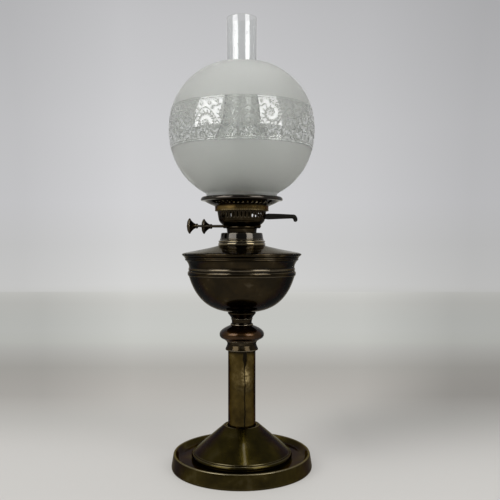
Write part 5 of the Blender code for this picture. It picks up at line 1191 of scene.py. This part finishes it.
# %% Lever
PIVOT = (26.0, 346.2)
LEVER_ROOT, LEVER_REACH, LEVER_DROP, ROOT_HALF, TIP_HALF, CURL_RADIUS = 11.0, 51.4, 4.6, 4.1, 2.8, 2.9
HUB_RADIUS, ARM, ARM_RISE, ARM_HEIGHT = 3.2, 17.0, 10.7, 2.4
PLATE, PLATE_EDGE = 2.0, 0.35
curl_middle, curl_end = (LEVER_REACH - CURL_RADIUS, -LEVER_DROP), (LEVER_REACH - 2 * CURL_RADIUS, -LEVER_DROP)
tip_top = (LEVER_REACH - 2 * TIP_HALF, TIP_HALF)
throat = (curl_end[0] - TIP_HALF, -TIP_HALF)
arm_left, arm_right = -ARM - ARM_HEIGHT / 2, -ARM + ARM_HEIGHT / 2
outline = np.concatenate([
    cubic((LEVER_ROOT, ROOT_HALF), tip_top, (0.35, 0.0), (0.7, 0.62), 10),
    cubic(tip_top, (LEVER_REACH, -LEVER_DROP), (0.6, 0.0), (1.0, 0.5), 10),
    curl_middle + on_circle(CURL_RADIUS, np.linspace(0, -math.pi, 14)),
    cubic(curl_end, throat, (0.0, 0.6), (0.4, 1.0), 6),
    [throat, (LEVER_ROOT, -ROOT_HALF)],
    on_circle(HUB_RADIUS, np.linspace(-0.22, -0.55, 10) * TAU),
    [(arm_left, ARM_RISE - 2 * ARM_HEIGHT), (arm_left, ARM_RISE), (arm_right, ARM_RISE),
     (arm_right, ARM_RISE - ARM_HEIGHT)],
    on_circle(HUB_RADIUS, np.linspace(0.30, 0.16, 8) * TAU)]) + PIVOT
lever_points = np.insert(outline, 1, 0.0, axis=1)
BLACK_BRASS = brass("blackened_brass", (0.008, 0.008, 0.007), (0.016, 0.015, 0.013), (0.07, 0.06, 0.05),
                    patches=0.1, roughness=(0.35, 0.5), metallic=0.6, coat=0.15)
lever_mesh = make_mesh("lever_plate", lever_points, np.arange(len(outline))[None, :])
lever = place_piece("lever_plate", lever_mesh, BLACK_BRASS, "lever", "patinated_brass", "extinguisher_lever")
plate = lever.modifiers.new("plate", "SOLIDIFY")
plate.thickness = PLATE * MM
plate.offset = 0
edges = lever.modifiers.new("edges", "BEVEL")
edges.width = PLATE_EDGE * MM
edges.segments = 2
edges.limit_method = "ANGLE"

# %% [markdown]
# ## Wicks
# A flat wick is a woven cotton tape. Its section is a rounded oblong, carried straight up
# the tube. The weave is a small wave across and along the tape, and the same wave colours
# it. The tip is singed brown.

# %% Cotton
SINGED_FROM, SINGED_OVER = 379.4, 4.0
cotton, n = new_material("cotton")
here = n.add("ShaderNodeTexCoord").outputs["Object"]
height = n.add("ShaderNodeSeparateXYZ", Vector=here).outputs["Z"]
weave = n.add("ShaderNodeAttribute", {"attribute_name": "edge"}).outputs["Fac"]
tint = n.mix(n.ramp(weave, [(0.0, 0.0), (1.0, 1.0)]), (0.30, 0.25, 0.17, 1), (0.72, 0.67, 0.55, 1))
fibre = n.ramp(n.noise(here, 2500.0, 3.0, Roughness=0.7), [(0.3, 0.35), (0.7, 0.0)])
tint = n.mix(fibre, tint, (0.28, 0.22, 0.14, 1))
up_the_tip = n.math("MULTIPLY_ADD", height, 1 / (SINGED_OVER * MM), -SINGED_FROM / SINGED_OVER)
tint = n.mix(n.ramp(up_the_tip, [(0.0, 0.0), (1.0, 1.0)]), tint, (0.022, 0.015, 0.010, 1))
cloth = n.add("ShaderNodeBsdfPrincipled", Base_Color=tint, Roughness=0.9, Sheen_Weight=0.3)
n.add("ShaderNodeOutputMaterial", Surface=cloth.outputs[0])

# %% Wicks
TAPE_LEVELS, TAPE_AROUND, TAPE_INSET, TAPE_POWER, TAPE_CREASE = 330, 120, (0.25, 0.25, 0.1), 0.32, 60
WEAVE_ACROSS, WEAVE_ALONG, WEAVE_HEIGHT = 1.9, 2.2, 0.2
for row in ROWS:
    low, high = box_mm(f"wick_{row}") + np.array([(1,), (-1,)]) * TAPE_INSET
    angle = full_turn(TAPE_AROUND)
    oblong = squared_off(on_circle(1.0, angle), TAPE_POWER) * (high - low)[:2] / 2
    level = np.linspace(low[2], high[2], TAPE_LEVELS)[:, None]
    bulge = np.cos(oblong[:, 0] / WEAVE_ACROSS * TAU) * np.cos(level / WEAVE_ALONG * TAU)
    section = oblong + (low + high)[:2] / 2 + WEAVE_HEIGHT * bulge[..., None] * on_circle(1.0, angle)
    tape = capped(np.dstack([section, np.broadcast_to(level, bulge.shape)]))
    tone = np.pad(0.5 + 0.5 * bulge, ((1, 1), (0, 0)), mode="edge")
    tape_mesh = make_mesh(f"tape_{row}", *skin(tape), tone, TAPE_CREASE)
    place_piece(f"tape_{row}", tape_mesh, cotton, f"wick_{row}", "cotton", f"wick_{row}")

# %% [markdown]
# ## Hidden and small pieces
# Some CAD solids are already as plain as the real thing and hardly show: the weight and
# its rod in the foot, the wick tubes, the toothed wheels, the lever's bracket and the
# snuffer. They stay, and get their metal here.

# %% Finishes for the CAD's own pieces
STEEL = brass("steel", (0.16, 0.155, 0.15), (0.26, 0.25, 0.24), (0.5, 0.5, 0.5), patches=0.2,
              roughness=(0.3, 0.5), coat=0.0)
IRON = brass("cast_iron", (0.022, 0.021, 0.020), (0.045, 0.040, 0.036), (0.10, 0.08, 0.07), patches=0.3,
             roughness=(0.55, 0.75), metallic=0.4, coat=0.0)
KEPT = {"base_weight": IRON, "tie_rod": STEEL, "rod_washer": STEEL, "rod_nut": STEEL,
        "burner_deck": GOLD_BRASS, "wick_tube_front": GOLD_BRASS, "wick_tube_back": GOLD_BRASS,
        "lever_bracket": DARK_BRASS, "lever_pin": STEEL, "snuffer": GOLD_BRASS}
for row in ROWS:
    for hand in HANDS:
        KEPT[f"winder_wheel_{row}_{hand}"] = STEEL
for name, material in KEPT.items():
    kept = frame["nodes"][name]
    kept.data.materials.clear()
    kept.data.materials.append(material)
print("kept from the CAD:", ", ".join(KEPT))
